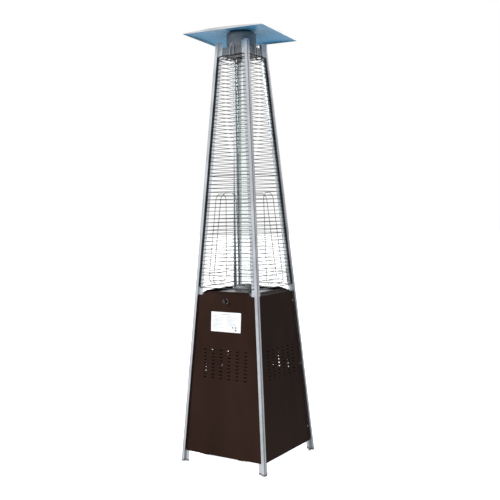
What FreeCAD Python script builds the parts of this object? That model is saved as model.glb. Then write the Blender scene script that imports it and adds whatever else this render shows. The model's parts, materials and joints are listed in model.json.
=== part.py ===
"""Free-standing gas patio heater: a square, tapering tower with a glass flame tube.

Row frame: millimetres, +Z up, the front door faces -Y, +X is the heater's right side seen
from the front.  The origin is on the floor, on the vertical axis of the tower.
"""
import FreeCAD, Part

import Sketcher

import math
import os

V = FreeCAD.Vector
doc = FreeCAD.newDocument("patio_heater")
sheet = doc.addObject("Spreadsheet::Sheet", "Dims")

DIMENSIONS = {
    # tower: half width over the post flanges at the floor, and the taper per mm of height
    "base_half": 254.4, "slope": 0.0741, "post_bottom": 3.0, "post_top": 2235.5,
    "post_flange": 30.0, "post_sheet": 1.5, "post_bend": 6.0,
    "nose_height": 12.0, "nose_width": 19.5,
    "glide_height": 10.0, "glide_lip": 1.0, "glide_inner": 3.0,
    # gaps: between a part and its seat, between touching parts, and round a pressed-in pin
    "fit_gap": 0.15, "touch_gap": 0.05, "press_gap": 0.02, "sheet_gap": 0.1,
    # cabinet
    "panel_sheet": 1.2, "panel_bottom": 56.0, "panel_fold": 900.0,
    "fold_rise": 18.0, "fold_half": 126.0, "fold_foot": 156.0, "fold_relief": 2.4,
    "panel_corner": 8.0, "panel_edge": 8.0,
    "vent_length": 19.0, "vent_height": 5.0, "vent_pitch_u": 51.1, "vent_pitch_v": 18.4,
    "vent_low": 460.0, "vent_columns": 6, "vent_rows": 9,
    "door_axis_z": 54.5, "door_axis_depth": 2.2, "rod_radius": 1.5, "rod_gap": 0.1,
    "rod_half": 150.0, "knuckle_radius": 2.8, "knuckle_length": 36.0, "knuckle_place": 110.0,
    "web_height": 4.0, "ear_width": 5.0, "ear_height": 12.0, "ear_depth": 4.6, "ear_back": 3.0,
    "label_width": 188.0, "label_height": 104.0, "label_middle": 759.5, "label_sheet": 0.4,
    "inside_gap": 0.3, "corner_cut": 8.0,
    "tray_low": 60.0, "tray_high": 90.0, "tray_sheet": 1.5,
    "anchor_half": 150.0, "anchor_radius": 5.5,
    "deck_top": 900.0, "deck_low": 850.0, "deck_sheet": 1.2, "deck_hole": 42.0,
    "magnet_place": 110.0, "magnet_width": 24.0, "magnet_height": 10.0, "magnet_depth": 9.0,
    "magnet_back": 9.4, "window_gap": 0.2,
    # flame tube and burner
    "tube_radius": 50.0, "tube_wall": 2.8, "tube_low": 933.0, "tube_high": 2183.0,
    "ring_radius": 60.0, "ring_sheet": 1.5, "ring_top": 930.0, "ring_inner": 45.0,
    "ring_slot_width": 27.5, "ring_slot_height": 11.0, "ring_slot_low": 911.0, "ring_slots": 11,
    "seat_depth": 8.0, "seat_width": 4.0, "seat_inset": 2.0, "upper_seal_width": 7.0,
    "upper_seal_height": 18.0,
    "burner_radius": 28.0, "burner_low": 880.0, "burner_cone": 12.0, "burner_top": 922.0,
    "burner_crown": 2.0, "venturi_radius": 9.0, "venturi_low": 790.0, "venturi_sheet": 1.5,
    "bracket_length": 100.0, "bracket_width": 80.0, "bracket_sheet": 2.0,
    "ignition_low": 882.0, "ignition_foot": 8.0, "ignition_flange": 1.5,
    "switch_width": 34.0, "switch_depth": 26.0, "switch_height": 22.0,
    "switch_x": 90.0, "switch_y": 60.0, "piezo_radius": 9.0, "piezo_length": 48.0,
    "piezo_x": -90.0, "piezo_y": 40.0,
    # control knob
    "knob_height": 868.0, "knob_radius": 12.2, "knob_clearance": 1.3, "knob_depth": 19.0,
    "knob_gap": 5.5, "knob_foot_chamfer": 1.5, "knob_rim_chamfer": 3.0, "knob_draft": 1.0,
    "knob_rim": 2.0, "socket_depth": 12.0,
    "stem_radius": 4.0, "nose_radius": 9.0, "nose_length": 5.5, "bore_gap": 0.08,
    "plug_radius": 8.0, "plug_length": 32.0, "plug_depth": 6.0, "plug_wall": 2.0,
    "knob_travel": 4.0, "end_gap": 1.0, "valve_width": 46.0, "valve_depth": 44.0,
    "valve_tall": 40.0, "inlet_radius": 7.9, "inlet_length": 16.0, "inlet_bore": 2.5,
    "inlet_tail": 5.0, "inlet_tail_length": 10.0, "inlet_collar": 9.5,
    "inlet_collar_height": 8.0, "pipe_radius": 4.0, "pipe_run": 40.0, "pipe_drop": 25.0,
    "pipe_tip": 12.0, "pipe_gap": 0.4,
    # top end
    "collar_low": 2158.0, "collar_plate": 2172.0, "collar_top": 2207.0, "collar_sheet": 1.5,
    "collar_slot_width": 28.0, "collar_slot_low": 2160.5, "collar_slot_high": 2170.0,
    "collar_slot_pitch": 35.0, "collar_hole_gap": 1.5,
    "cap_radius": 80.0, "cap_sheet": 1.5, "cap_shoulder": 2290.0, "cap_bend": 14.0,
    "neck_radius": 52.0, "neck_top": 2298.0, "flue_width": 15.0, "flue_low": 2292.0,
    "flue_height": 4.5, "flue_slots": 12,
    "bridge_sheet": 3.0, "bridge_top": 2291.6, "bridge_vent": 26.0,
    "mirror_half": 229.0, "mirror_turn": 7.3, "mirror_edge": 2277.0, "mirror_lip": 9.0,
    "mirror_crown": 2298.2, "mirror_flat": 56.0, "mirror_sheet": 1.0,
    "stud_radius": 3.0, "stud_circle": 36.0, "stud_top": 2312.0, "stud_hole_gap": 0.4,
    "washer_radius": 8.5, "washer_sheet": 1.6, "washer_gap": 0.3, "nut_radius": 5.5,
    "nut_height": 6.0, "wing_span": 13.0, "wing_sheet": 2.4, "wing_rise": 1.5,
    "wing_foot": 1.0, "nut_spin": 20.0,
    # guards
    "rail_radius": 2.5, "wire_radius": 1.3, "bar_radius": 2.0, "guard_gap": 0.3,
    "guard_inset": 10.5, "guard_low": 935.0, "guard_high": 2162.0, "wire_pitch": 20.35,
    "bar_low": 1001.0, "bar_middle": 1529.0, "bar_high": 2144.0,
    "loop_low": 947.0, "loop_high": 1436.0, "loop_inset": 100.0, "loop_cut": 24.0,
    "hook_half": 11.0, "hook_top": 2222.0,
    # fasteners
    "screw_radius": 2.0, "screw_head": 4.0, "screw_head_height": 2.4, "screw_length": 7.0,
    "screw_inset": 19.0,
}
SCREW_LEVELS = (138.0, 495.0, 847.0)
TOP_SCREW_LEVEL = 2197.0
DECK_SCREW_LEVEL = 857.0
TRAY_SCREW_LEVEL = 76.0
TOP_INSET = 19.0
HIDDEN_INSET = 19.0
CORNER_REACH = 60.0
HOLE_REACH = 8.0
THROUGH = 20.0
BAR_CLEARANCE = 6.0
EAR_PLACES = (-142.0, -76.0, 76.0, 142.0)
SLOT_STEPS = (-1.5, -0.5, 0.5, 1.5)
# node: x, y, radius and height of each part that stands beside the burner head
IGNITION = {"pilot_burner": (36.0, 6.0, 4.0, 40.0), "thermocouple": (36.0, -6.0, 2.0, 44.0),
            "spark_electrode": (36.0, 15.0, 1.5, 46.0)}
FACES = ("front", "right", "rear", "left")
CORNERS = {"post_front_left": (-1, -1), "post_front_right": (1, -1),
           "post_rear_right": (1, 1), "post_rear_left": (-1, 1)}


class Size:
    """A length that knows both its value and its formula in terms of the sheet's cells."""

    def __init__(self, value, text):
        self.value = value
        self.text = text

    @staticmethod
    def of(other):
        return other if isinstance(other, Size) else Size(float(other), repr(float(other)))

    def combine(self, other, sign, value):
        return Size(value, "(%s %s %s)" % (self.text, sign, other.text))

    def __add__(self, other):
        other = Size.of(other)
        return self.combine(other, "+", self.value + other.value)

    def __sub__(self, other):
        other = Size.of(other)
        return self.combine(other, "-", self.value - other.value)

    def __mul__(self, other):
        other = Size.of(other)
        return self.combine(other, "*", self.value * other.value)

    def __truediv__(self, other):
        other = Size.of(other)
        return self.combine(other, "/", self.value / other.value)

    def __radd__(self, other):
        return Size.of(other) + self

    def __rsub__(self, other):
        return Size.of(other) - self

    def __rmul__(self, other):
        return Size.of(other) * self

    def __neg__(self):
        return Size.of(-1) * self


class Sizes:
    """Every driving dimension as an attribute: D.post_top is a Size."""


def fill_sheet():
    for row, (alias, value) in enumerate(DIMENSIONS.items(), 1):
        sheet.set("A%d" % row, alias)
        sheet.set("B%d" % row, str(value))
        sheet.setAlias("B%d" % row, alias)
        setattr(Sizes, alias, Size(float(value), "Dims." + alias))


D = Sizes
fill_sheet()
doc.recompute()
TILT = math.degrees(math.atan(D.slope.value))
STRETCH = 1 / math.cos(math.radians(TILT))
nodes = []


def half(level):
    """Distance from the axis to the outside of the posts' flanges at a height."""
    return D.base_half - D.slope * level


def up(level):
    """A height, measured along the sloping face."""
    return Size.of(level) * STRETCH


def face_placement(face, u=0.0, v=0.0, w=0.0, spin=None):
    """Local x runs along the face, y up its slope and z outwards from the post's face."""
    turn = FreeCAD.Rotation(V(0, 0, 1), 90.0 * FACES.index(face))
    lean = FreeCAD.Rotation(V(1, 0, 0), 90.0 - TILT)
    rotation = turn.multiply(lean)
    foot = turn.multVec(V(0, -D.base_half.value, 0))
    place = FreeCAD.Placement(foot + rotation.multVec(V(u, v, w)), rotation)
    if spin is not None:
        place = place.multiply(FreeCAD.Placement(V(), spin))
    return place


def bind(item, **sizes):
    for name, size in sizes.items():
        item.setExpression(name, Size.of(size).text)
    return item


def finish(item, node, placement=None):
    """Makes an object a node of the heater."""
    item.Label = node
    if placement is not None:
        item.Placement = placement
    nodes.append(item)
    return item


# ---- sketches and bodies -------------------------------------------------------------------

def new_body(name):
    return doc.addObject("PartDesign::Body", name + "_body")


def origin_plane(body, role):
    return next(plane for plane in body.Origin.OriginFeatures if plane.Role == role)


def new_sketch(body, role="XY_Plane", offset=0.0):
    sketch = body.newObject("Sketcher::SketchObject", body.Name + "_sketch")
    sketch.AttachmentSupport = (origin_plane(body, role), [""])
    sketch.MapMode = "FlatFace"
    sketch.setExpression(".AttachmentOffset.Base.z", Size.of(offset).text)
    return sketch


def pin_point(sketch, index, position, x, y):
    """Holds one sketch point at a bound place, measured from the sketch's origin."""
    for kind, axis, size in (("DistanceX", -2, x), ("DistanceY", -1, y)):
        size = Size.of(size)
        if abs(size.value) < 1e-9:
            sketch.addConstraint(Sketcher.Constraint("PointOnObject", index, position, axis))
        else:
            number = sketch.addConstraint(
                Sketcher.Constraint(kind, -1, 1, index, position, size.value))
            sketch.setExpression("Constraints[%d]" % number, size.text)


def arc_middle(start, end, radius):
    """Middle of the short arc from start to end, its centre on the left for a plus radius."""
    chord = end - start
    left = V(-chord.y, chord.x, 0).normalize()
    side = math.copysign(1, radius)
    rise = abs(radius) - math.sqrt(radius ** 2 - (chord.Length / 2) ** 2)
    return start + chord / 2 - left * side * rise


def add_outline(sketch, points):
    """A closed outline through bound points; a third value makes the next edge an arc."""
    spots = [V(Size.of(point[0]).value, Size.of(point[1]).value, 0) for point in points]
    edges = []
    for point, start, end in zip(points, spots, spots[1:] + spots[:1]):
        if len(point) == 2:
            index = sketch.addGeometry(Part.LineSegment(start, end), False)
            edges.append((index, 1, 2))
            continue
        radius = Size.of(point[2])
        middle = arc_middle(start, end, radius.value)
        index = sketch.addGeometry(Part.Arc(start, middle, end), False)
        edges.append((index, 1, 2) if radius.value > 0 else (index, 2, 1))
        size = radius if radius.value > 0 else -radius
        number = sketch.addConstraint(Sketcher.Constraint("Radius", index, size.value))
        sketch.setExpression("Constraints[%d]" % number, size.text)
    for point, edge, following in zip(points, edges, edges[1:] + edges[:1]):
        sketch.addConstraint(
            Sketcher.Constraint("Coincident", edge[0], edge[2], following[0], following[1]))
        pin_point(sketch, edge[0], edge[1], point[0], point[1])


def add_circle(sketch, x, y, radius):
    centre = V(Size.of(x).value, Size.of(y).value, 0)
    radius = Size.of(radius)
    index = sketch.addGeometry(Part.Circle(centre, V(0, 0, 1), radius.value), False)
    pin_point(sketch, index, 3, x, y)
    number = sketch.addConstraint(Sketcher.Constraint("Radius", index, radius.value))
    sketch.setExpression("Constraints[%d]" % number, radius.text)


def mirrored(points):
    """The right half of an outline and its mirror image, as one closed outline."""
    back = list(reversed(points))
    before = back[1:] + [()]
    return points + [(-spot[0], spot[1]) + tuple(last[2:]) for spot, last in zip(back, before)]


def rectangle(half_width, low, high):
    return mirrored([(half_width, low), (half_width, high)])


def pad(body, sketch, length, midplane=False, direction=None):
    feature = body.newObject("PartDesign::Pad", body.Name + "_pad")
    feature.Profile = sketch
    feature.Midplane = midplane
    bind(feature, Length=length)
    if direction is not None:
        feature.UseCustomVector = True
        feature.Direction = direction
        feature.AlongSketchNormal = True
    return feature


def pocket(body, sketch, length=None, reverse=False, midplane=False, direction=None):
    """Cuts the sketch out of the body and makes sure that something was cut."""
    doc.recompute()
    before = body.Shape.Volume
    feature = body.newObject("PartDesign::Pocket", body.Name + "_pocket")
    feature.Profile = sketch
    feature.Reversed = reverse
    feature.Midplane = midplane
    if length is None:
        feature.Type = "ThroughAll"
    else:
        bind(feature, Length=length)
    if direction is not None:
        feature.UseCustomVector = True
        feature.Direction = direction
        feature.AlongSketchNormal = True
    doc.recompute()
    if body.Shape.Volume > before - 0.01:
        raise RuntimeError("a pocket in %s cuts nothing" % body.Label)
    return feature


def revolved(name, outlines):
    """A turned piece: outlines are (radius, height) points, in the body's XZ plane."""
    body = new_body(name)
    sketch = new_sketch(body, "XZ_Plane")
    for outline in outlines:
        add_outline(sketch, outline)
    turn = body.newObject("PartDesign::Revolution", body.Name + "_turn")
    turn.Profile = sketch
    turn.ReferenceAxis = (sketch, ["V_Axis"])
    turn.Angle = 360.0
    return body


def rounded_square(half_width, cut):
    """A square with its corners cut off."""
    short = half_width - cut
    return [(half_width, -short), (half_width, short), (short, half_width),
            (-short, half_width), (-half_width, short), (-half_width, -short),
            (-short, -half_width), (short, -half_width)]


def tapered(body, low, high, inset, cut, subtract=False):
    """A square block that follows the tower's taper between two heights."""
    sketches = []
    for level in (low, high):
        sketch = new_sketch(body, "XY_Plane", level)
        add_outline(sketch, rounded_square(half(level) - inset, cut))
        sketches.append(sketch)
    kind = "SubtractiveLoft" if subtract else "AdditiveLoft"
    loft = body.newObject("PartDesign::" + kind, body.Name + "_loft")
    loft.Profile = sketches[0]
    loft.Sections = sketches[1:]
    loft.Ruled = True
    return loft


# ---- solids and booleans -------------------------------------------------------------------

def cylinder(name, radius, length, placement):
    item = doc.addObject("Part::Cylinder", name)
    bind(item, Radius=radius, Height=length)
    item.Placement = placement
    return item


def block(name, width, depth, height, placement):
    """A box centred on the placement's origin in x and y, standing on it in z."""
    item = doc.addObject("Part::Box", name)
    bind(item, Length=width, Width=depth, Height=height)
    shift = V(-Size.of(width).value / 2, -Size.of(depth).value / 2, 0)
    item.Placement = placement.multiply(FreeCAD.Placement(shift, FreeCAD.Rotation()))
    return item


def rod_between(name, radius, start, end):
    """A round rod from one point to another."""
    along = end - start
    turn = FreeCAD.Rotation(V(0, 0, 1), along)
    return cylinder(name, radius, along.Length, FreeCAD.Placement(start, turn))


def cut_away(name, base, tools):
    gathered = doc.addObject("Part::Compound", name + "_cutters")
    gathered.Links = tools
    item = doc.addObject("Part::Cut", name + "_cut")
    item.Base = base
    item.Tool = gathered
    return item


def joined(name, pieces):
    item = doc.addObject("Part::MultiFuse", name + "_joined")
    item.Shapes = pieces
    return item


def group(name, pieces):
    """Identical loose pieces that share one node."""
    item = doc.addObject("Part::Compound", name + "_group")
    item.Links = pieces
    return item


def at(x, y, z, rotation=FreeCAD.Rotation()):
    return FreeCAD.Placement(V(x, y, z), rotation)


def ridge_inset(level, inset):
    """Half width on a face at a height, the inset measured in from the post's ridge."""
    return half(level).value - inset


# ---- screws: where they are decides the holes ----------------------------------------------

def panel_screw_places(face):
    return [(face, side * ridge_inset(level, D.screw_inset.value), level)
            for level in SCREW_LEVELS for side in (-1, 1)]


def corner_screw_places(level, inset):
    return [(face, side * ridge_inset(level, inset), level)
            for face in FACES for side in (-1, 1)]


SIDE_SCREWS = [place for face in FACES[1:] for place in panel_screw_places(face)]
COLLAR_SCREWS = corner_screw_places(TOP_SCREW_LEVEL, TOP_INSET)
DECK_SCREWS = corner_screw_places(DECK_SCREW_LEVEL, HIDDEN_INSET)
TRAY_SCREWS = corner_screw_places(TRAY_SCREW_LEVEL, HIDDEN_INSET)
ALL_SCREWS = SIDE_SCREWS + COLLAR_SCREWS + DECK_SCREWS + TRAY_SCREWS


def screw_holes(name, places):
    """Clearance holes that run in from outside each face."""
    return [cylinder("%s_hole%d" % (name, number), D.screw_radius + D.fit_gap, 2 * HOLE_REACH,
                     face_placement(face, u, up(level).value, -HOLE_REACH))
            for number, (face, u, level) in enumerate(places)]


def screws(name, places, seat):
    """Pan-head screws whose heads sit on a surface that lies seat mm outside the posts."""
    pieces = []
    for number, (face, u, level) in enumerate(places):
        v = up(level).value
        shank = cylinder("%s_shank%d" % (name, number), D.screw_radius, D.screw_length,
                         face_placement(face, u, v, seat.value - D.screw_length.value))
        head = cylinder("%s_head%d" % (name, number), D.screw_head, D.screw_head_height,
                        face_placement(face, u, v, seat.value))
        pieces.append(joined("%s_%d" % (name, number), [shank, head]))
    finish(group(name, pieces), name)


def inner_screws(name, places, wall):
    """Screws put in from inside a wall; their tips end flush with the post's outer face."""
    pieces = []
    seat = -(D.post_sheet + D.inside_gap + wall + D.touch_gap).value
    for number, (face, u, level) in enumerate(places):
        v = up(level).value
        shank = cylinder("%s_shank%d" % (name, number), D.screw_radius,
                         -seat - D.sheet_gap.value, face_placement(face, u, v, seat))
        head = cylinder("%s_head%d" % (name, number), D.screw_head, D.screw_head_height,
                        face_placement(face, u, v, seat - D.screw_head_height.value))
        pieces.append(joined("%s_%d" % (name, number), [shank, head]))
    finish(group(name, pieces), name)


# ---- posts and feet ------------------------------------------------------------------------

def post_section(sx, sy, corner, outer, inner, lip, bend):
    """Two flanges stepped out to a nose with a rounded corner.

    The section reaches outer beyond the flanges' outside, inner behind it and lip past their
    ends; corner is where the outsides of the two flanges would meet.
    """
    far, near = corner + outer, corner - inner
    end = corner - D.post_flange - lip
    step = corner + D.nose_height - D.nose_width
    step_far, step_near = step - outer, step + inner
    tip, hollow = far + D.nose_height, near + D.nose_height
    side = -sx * sy
    inner_bend = bend - outer - inner
    points = [(tip, tip - bend), (tip, step_far), (far, step_far), (far, end), (near, end),
              (near, step_near), (hollow, step_near),
              (hollow, hollow - inner_bend, -side * inner_bend), (hollow - inner_bend, hollow),
              (step_near, hollow), (step_near, near), (end, near), (end, far),
              (step_far, far), (step_far, tip), (tip - bend, tip, side * bend)]
    return [(sx * point[0], sy * point[1]) + point[2:] for point in points]


def make_post(node, sx, sy):
    body = new_body(node)
    sketch = new_sketch(body, "XY_Plane", D.post_bottom)
    corner = half(D.post_bottom)
    add_outline(sketch, post_section(sx, sy, corner, 0, D.post_sheet, 0, D.post_bend))
    lean = V(-sx * D.slope.value, -sy * D.slope.value, 1)
    pad(body, sketch, D.post_top - D.post_bottom, direction=lean)
    faces = {(-1, -1): ("front", "left"), (1, -1): ("front", "right"),
             (1, 1): ("right", "rear"), (-1, 1): ("rear", "left")}[(sx, sy)]
    doc.recompute()
    mine = [place for place in ALL_SCREWS if place[0] in faces
            and (face_point(place) - ridge_point(sx, sy, place[2])).Length < CORNER_REACH]
    finish(cut_away(node, body, screw_holes(node, mine)), node)


def face_point(place):
    face, u, level = place
    return face_placement(face, u, up(level).value).Base


def ridge_point(sx, sy, level):
    return V(sx * half(level).value, sy * half(level).value, level)


def make_glides():
    pieces = []
    for node, (sx, sy) in CORNERS.items():
        body = new_body("glide_" + node)
        lean = V(-sx * D.slope.value, -sy * D.slope.value, 1)
        foot = new_sketch(body)
        add_outline(foot, post_section(sx, sy, D.base_half, D.glide_lip, D.glide_inner,
                                       D.glide_lip, D.post_bend + D.glide_lip))
        pad(body, foot, D.glide_height, direction=lean)
        groove = new_sketch(body, "XY_Plane", D.post_bottom)
        gap = D.fit_gap
        add_outline(groove, post_section(sx, sy, half(D.post_bottom), gap,
                                         D.post_sheet + gap, gap, D.post_bend + gap))
        pocket(body, groove, D.glide_height, direction=lean)
        pieces.append(body)
    finish(group("foot_glides", pieces), "foot_glides")


# ---- cabinet -------------------------------------------------------------------------------

def panel_half(level):
    """Half width of a panel: it fits between the noses of the posts."""
    return half(level) - D.panel_edge


def panel_silhouette():
    low = up(D.panel_bottom)
    fold = up(D.panel_fold)
    cut = D.panel_corner
    foot = panel_half(D.panel_bottom + cut)
    return mirrored([
        (foot - cut, low, cut), (foot, low + cut),
        (panel_half(D.panel_fold), fold - D.fold_relief),
        (D.fold_foot, fold - D.fold_relief),
        (D.fold_half, fold + D.fold_rise)])


def make_panel(node, face):
    """A sheet with its top edge folded inwards, vents, and screw holes unless it is the door."""
    body = new_body(node)
    low, fold, sheet_depth = up(D.panel_bottom), up(D.panel_fold), D.panel_sheet
    profile = new_sketch(body, "YZ_Plane")
    rise = D.fold_rise
    slant = sheet_depth * math.sqrt(2)
    add_outline(profile, [(low, 0), (fold - sheet_depth, 0), (fold + rise - slant, -rise),
                          (fold + rise, -rise), (fold, sheet_depth), (low, sheet_depth)])
    pad(body, profile, 2 * panel_half(D.panel_bottom), midplane=True)
    trim = new_sketch(body)
    reach = panel_half(D.panel_bottom) + THROUGH
    add_outline(trim, rectangle(reach, low - THROUGH, fold + 2 * rise))
    add_outline(trim, panel_silhouette())
    if face == "front":
        add_circle(trim, 0, up(D.knob_height), D.knob_radius + D.knob_clearance)
    pocket(body, trim, 4 * rise, midplane=True)
    vent = new_sketch(body)
    left = D.vent_pitch_u * (1 - D.vent_columns) / 2
    foot = up(D.vent_low)
    reach = D.vent_length / 2
    add_outline(vent, [(left - reach, foot), (left + reach, foot),
                       (left + reach, foot + D.vent_height),
                       (left - reach, foot + D.vent_height)])
    slot = pocket(body, vent, 4 * rise, midplane=True)
    repeat_grid(body, slot, vent)
    if face == "front":
        return body
    return cut_away(node, body, screw_holes_local(node, face))


def repeat_grid(body, slot, vent):
    grid = body.newObject("PartDesign::MultiTransform", body.Name + "_grid")
    grid.Originals = [slot]
    steps = []
    for axis, pitch, count in (("H_Axis", D.vent_pitch_u, D.vent_columns),
                               ("V_Axis", D.vent_pitch_v, D.vent_rows)):
        row = body.newObject("PartDesign::LinearPattern", body.Name + "_row")
        row.Direction = (vent, [axis])
        bind(row, Length=pitch * (count - 1), Occurrences=count)
        steps.append(row)
    grid.Transformations = steps
    body.Tip = grid


def screw_holes_local(node, face):
    """Screw holes in the flat panel's own frame."""
    return [cylinder("%s_hole%d" % (node, number), D.screw_radius + D.fit_gap, 2 * HOLE_REACH,
                     at(u, up(level).value, -HOLE_REACH))
            for number, (_, u, level) in enumerate(panel_screw_places(face))]


def make_door():
    body = make_panel("front_door", "front")
    length, place = D.knuckle_length, D.knuckle_place
    axis_v, axis_w = up(D.door_axis_z).value, -D.door_axis_depth.value
    along = FreeCAD.Rotation(V(0, 1, 0), 90)
    pieces, bores = [body], []
    for side in (-1, 1):
        start = side * place.value - length.value / 2
        tag = "knuckle%d" % (side + 1)
        pieces.append(cylinder(tag, D.knuckle_radius, length, at(start, axis_v, axis_w, along)))
        web = D.door_axis_depth + D.panel_sheet
        pieces.append(block(tag + "_web", length, D.web_height, web,
                            at(side * place.value, axis_v + D.web_height.value / 2, axis_w)))
        bores.append(cylinder(tag + "_bore", D.rod_radius + D.rod_gap, length + 2 * HOLE_REACH,
                              at(start - HOLE_REACH, axis_v, axis_w, along)))
    door = cut_away("front_door", joined("front_door", pieces), bores)
    finish(door, "front_door", face_placement("front"))


def make_pivot_rod():
    spin = FreeCAD.Rotation(V(0, 1, 0), 90)
    rod = cylinder("rod", D.rod_radius, 2 * D.rod_half,
                   face_placement("front", -D.rod_half.value, up(D.door_axis_z).value,
                                  -D.door_axis_depth.value, spin))
    finish(rod, "door_pivot_rod")


def make_label():
    body = new_body("rating_label")
    sketch = new_sketch(body, "XY_Plane", D.panel_sheet)
    middle = up(D.label_middle)
    tall = D.label_height / 2
    add_outline(sketch, rectangle(D.label_width / 2, middle - tall, middle + tall))
    pad(body, sketch, D.label_sheet)
    finish(body, "rating_label", face_placement("front"))


def make_tray():
    """The base tray carries the gas bottle, ties the posts and holds the door's rod."""
    body = new_body("base_tray")
    skin = D.post_sheet + D.inside_gap
    tapered(body, D.tray_low, D.tray_high, skin, D.corner_cut)
    tapered(body, D.tray_low + D.tray_sheet, D.tray_high + D.tray_sheet,
            skin + D.tray_sheet, D.corner_cut, subtract=True)
    ears, bores = [body], []
    axis_v, axis_w = up(D.door_axis_z).value, -D.door_axis_depth.value
    back = D.ear_back.value
    for number, u in enumerate(EAR_PLACES):
        spot = face_placement("front", u, axis_v - back + D.ear_height.value / 2, axis_w - back)
        ears.append(block("ear%d" % number, D.ear_width, D.ear_height, D.ear_depth, spot))
    spin = FreeCAD.Rotation(V(0, 1, 0), 90)
    reach = D.rod_half + THROUGH
    bores.append(cylinder("ear_bore", D.rod_radius + D.rod_gap / 2, 2 * reach,
                          face_placement("front", -reach.value, axis_v, axis_w, spin)))
    for sx, sy in CORNERS.values():
        spot = at(sx * D.anchor_half.value, sy * D.anchor_half.value,
                  D.tray_low.value - THROUGH / 2)
        bores.append(cylinder("anchor_hole", D.anchor_radius, THROUGH, spot))
    tray = cut_away("base_tray", joined("base_tray", ears),
                    bores + screw_holes("base_tray", TRAY_SCREWS))
    finish(tray, "base_tray")


def make_deck():
    """The deck closes the cabinet; its front wall carries the gas valve."""
    body = new_body("deck_box")
    skin = D.post_sheet + D.inside_gap
    tapered(body, D.deck_low, D.deck_top, skin, D.corner_cut)
    tapered(body, D.deck_low - D.deck_sheet, D.deck_top - D.deck_sheet,
            skin + D.deck_sheet, D.corner_cut, subtract=True)
    nose = cylinder("nose_hole", D.nose_radius + D.fit_gap, THROUGH,
                    valve_place(-THROUGH / 2))
    middle = cylinder("burner_hole", D.deck_hole, THROUGH,
                      at(0, 0, D.deck_top.value - THROUGH / 2))
    windows = [block("magnet_window%d" % side, D.magnet_width + 2 * D.window_gap,
                     D.magnet_height + 2 * D.window_gap, THROUGH,
                     magnet_place(side, -THROUGH / 2)) for side in (-1, 1)]
    tools = [nose, middle] + windows + screw_holes("deck_box", DECK_SCREWS)
    finish(cut_away("deck_box", body, tools), "deck_box")


def magnet_place(side, w):
    return face_placement("front", side * D.magnet_place.value, up(D.knob_height).value, w)


def make_magnets():
    pieces = [block("magnet%d" % side, D.magnet_width, D.magnet_height, D.magnet_depth,
                    magnet_place(side, -D.magnet_back.value)) for side in (-1, 1)]
    finish(group("door_magnets", pieces), "door_magnets")


# ---- gas valve and knob --------------------------------------------------------------------

def valve_place(w=0.0, v=0.0, spin=None):
    return face_placement("front", 0, up(D.knob_height).value + v, w, spin)


VALVE_FACE = -(D.post_sheet + D.inside_gap + D.deck_sheet + D.sheet_gap).value


def make_valve():
    """Valve body with a front nose, a chamber for the plug and bores for both pipes."""
    back = D.valve_depth
    housing = block("valve_block", D.valve_width, D.valve_tall, back,
                    valve_place(VALVE_FACE - back.value))
    nose = cylinder("valve_nose", D.nose_radius, D.nose_length,
                    valve_place(VALVE_FACE - D.end_gap.value))
    chamber_back = VALVE_FACE - (D.plug_depth + D.plug_length + D.end_gap).value
    chamber = cylinder("valve_chamber", D.plug_radius + D.bore_gap,
                       D.plug_length + 2 * D.end_gap, valve_place(chamber_back))
    bore = cylinder("valve_bore", D.stem_radius + D.bore_gap,
                    D.plug_depth + D.nose_length + 2 * D.end_gap,
                    valve_place(VALVE_FACE - (D.plug_depth + D.end_gap).value))
    inlet = cylinder("inlet_bore", D.inlet_tail + D.sheet_gap,
                     D.inlet_tail_length + 2 * D.end_gap, valve_place(
                         VALVE_FACE - back.value / 2,
                         -(D.valve_tall / 2 + D.end_gap).value,
                         FreeCAD.Rotation(V(1, 0, 0), -90)))
    finish(cut_away("gas_valve", joined("gas_valve", [housing, nose]),
                    [chamber, bore, inlet]), "gas_valve")


def make_plug():
    """The turning plug inside the valve; the stem slides in its bore."""
    back = VALVE_FACE - (D.plug_depth + D.plug_length).value
    barrel = cylinder("plug_barrel", D.plug_radius, D.plug_length, valve_place(back))
    bore = cylinder("plug_bore", D.stem_radius + D.bore_gap, D.plug_length,
                    valve_place(back + D.plug_wall.value))
    finish(cut_away("valve_plug", barrel, [bore]), "valve_plug")


def make_stem_and_knob():
    back = VALVE_FACE - (D.plug_depth + D.plug_length - D.plug_wall).value
    start = back + (D.knob_travel + D.end_gap).value
    end = (D.panel_sheet + D.knob_gap + D.socket_depth).value
    finish(cylinder("stem", D.stem_radius, end - start, valve_place(start)), "valve_stem")
    depth, radius, foot = D.knob_depth, D.knob_radius, D.knob_foot_chamfer
    body = revolved("control_knob", [[
        (0, 0), (radius - foot, 0), (radius, foot), (radius - D.knob_draft, depth - D.knob_rim),
        (radius - D.knob_rim_chamfer, depth), (0, depth)]])
    socket = cylinder("knob_socket", D.stem_radius + D.press_gap, D.socket_depth + D.sheet_gap,
                      at(0, 0, 0))
    knob = cut_away("control_knob", body, [socket])
    finish(knob, "control_knob", valve_place((D.panel_sheet + D.knob_gap).value))


def make_inlet():
    """Male gas inlet that a hose nut screws onto."""
    bore, tail, rim = D.inlet_bore, D.inlet_tail, D.inlet_collar
    step = D.inlet_collar_height
    end = step + D.inlet_length
    body = revolved("gas_inlet_fitting", [[
        (bore, -D.inlet_tail_length), (tail, -D.inlet_tail_length), (tail, 0), (rim, 0),
        (rim, step), (D.inlet_radius, step), (D.inlet_radius, end), (bore, end)]])
    down = FreeCAD.Rotation(V(1, 0, 0), 90)
    spot = valve_place(VALVE_FACE - D.valve_depth.value / 2,
                       -(D.valve_tall / 2 + D.touch_gap).value, down)
    finish(body, "gas_inlet_fitting", spot)


# ---- burner and glass ----------------------------------------------------------------------

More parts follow.
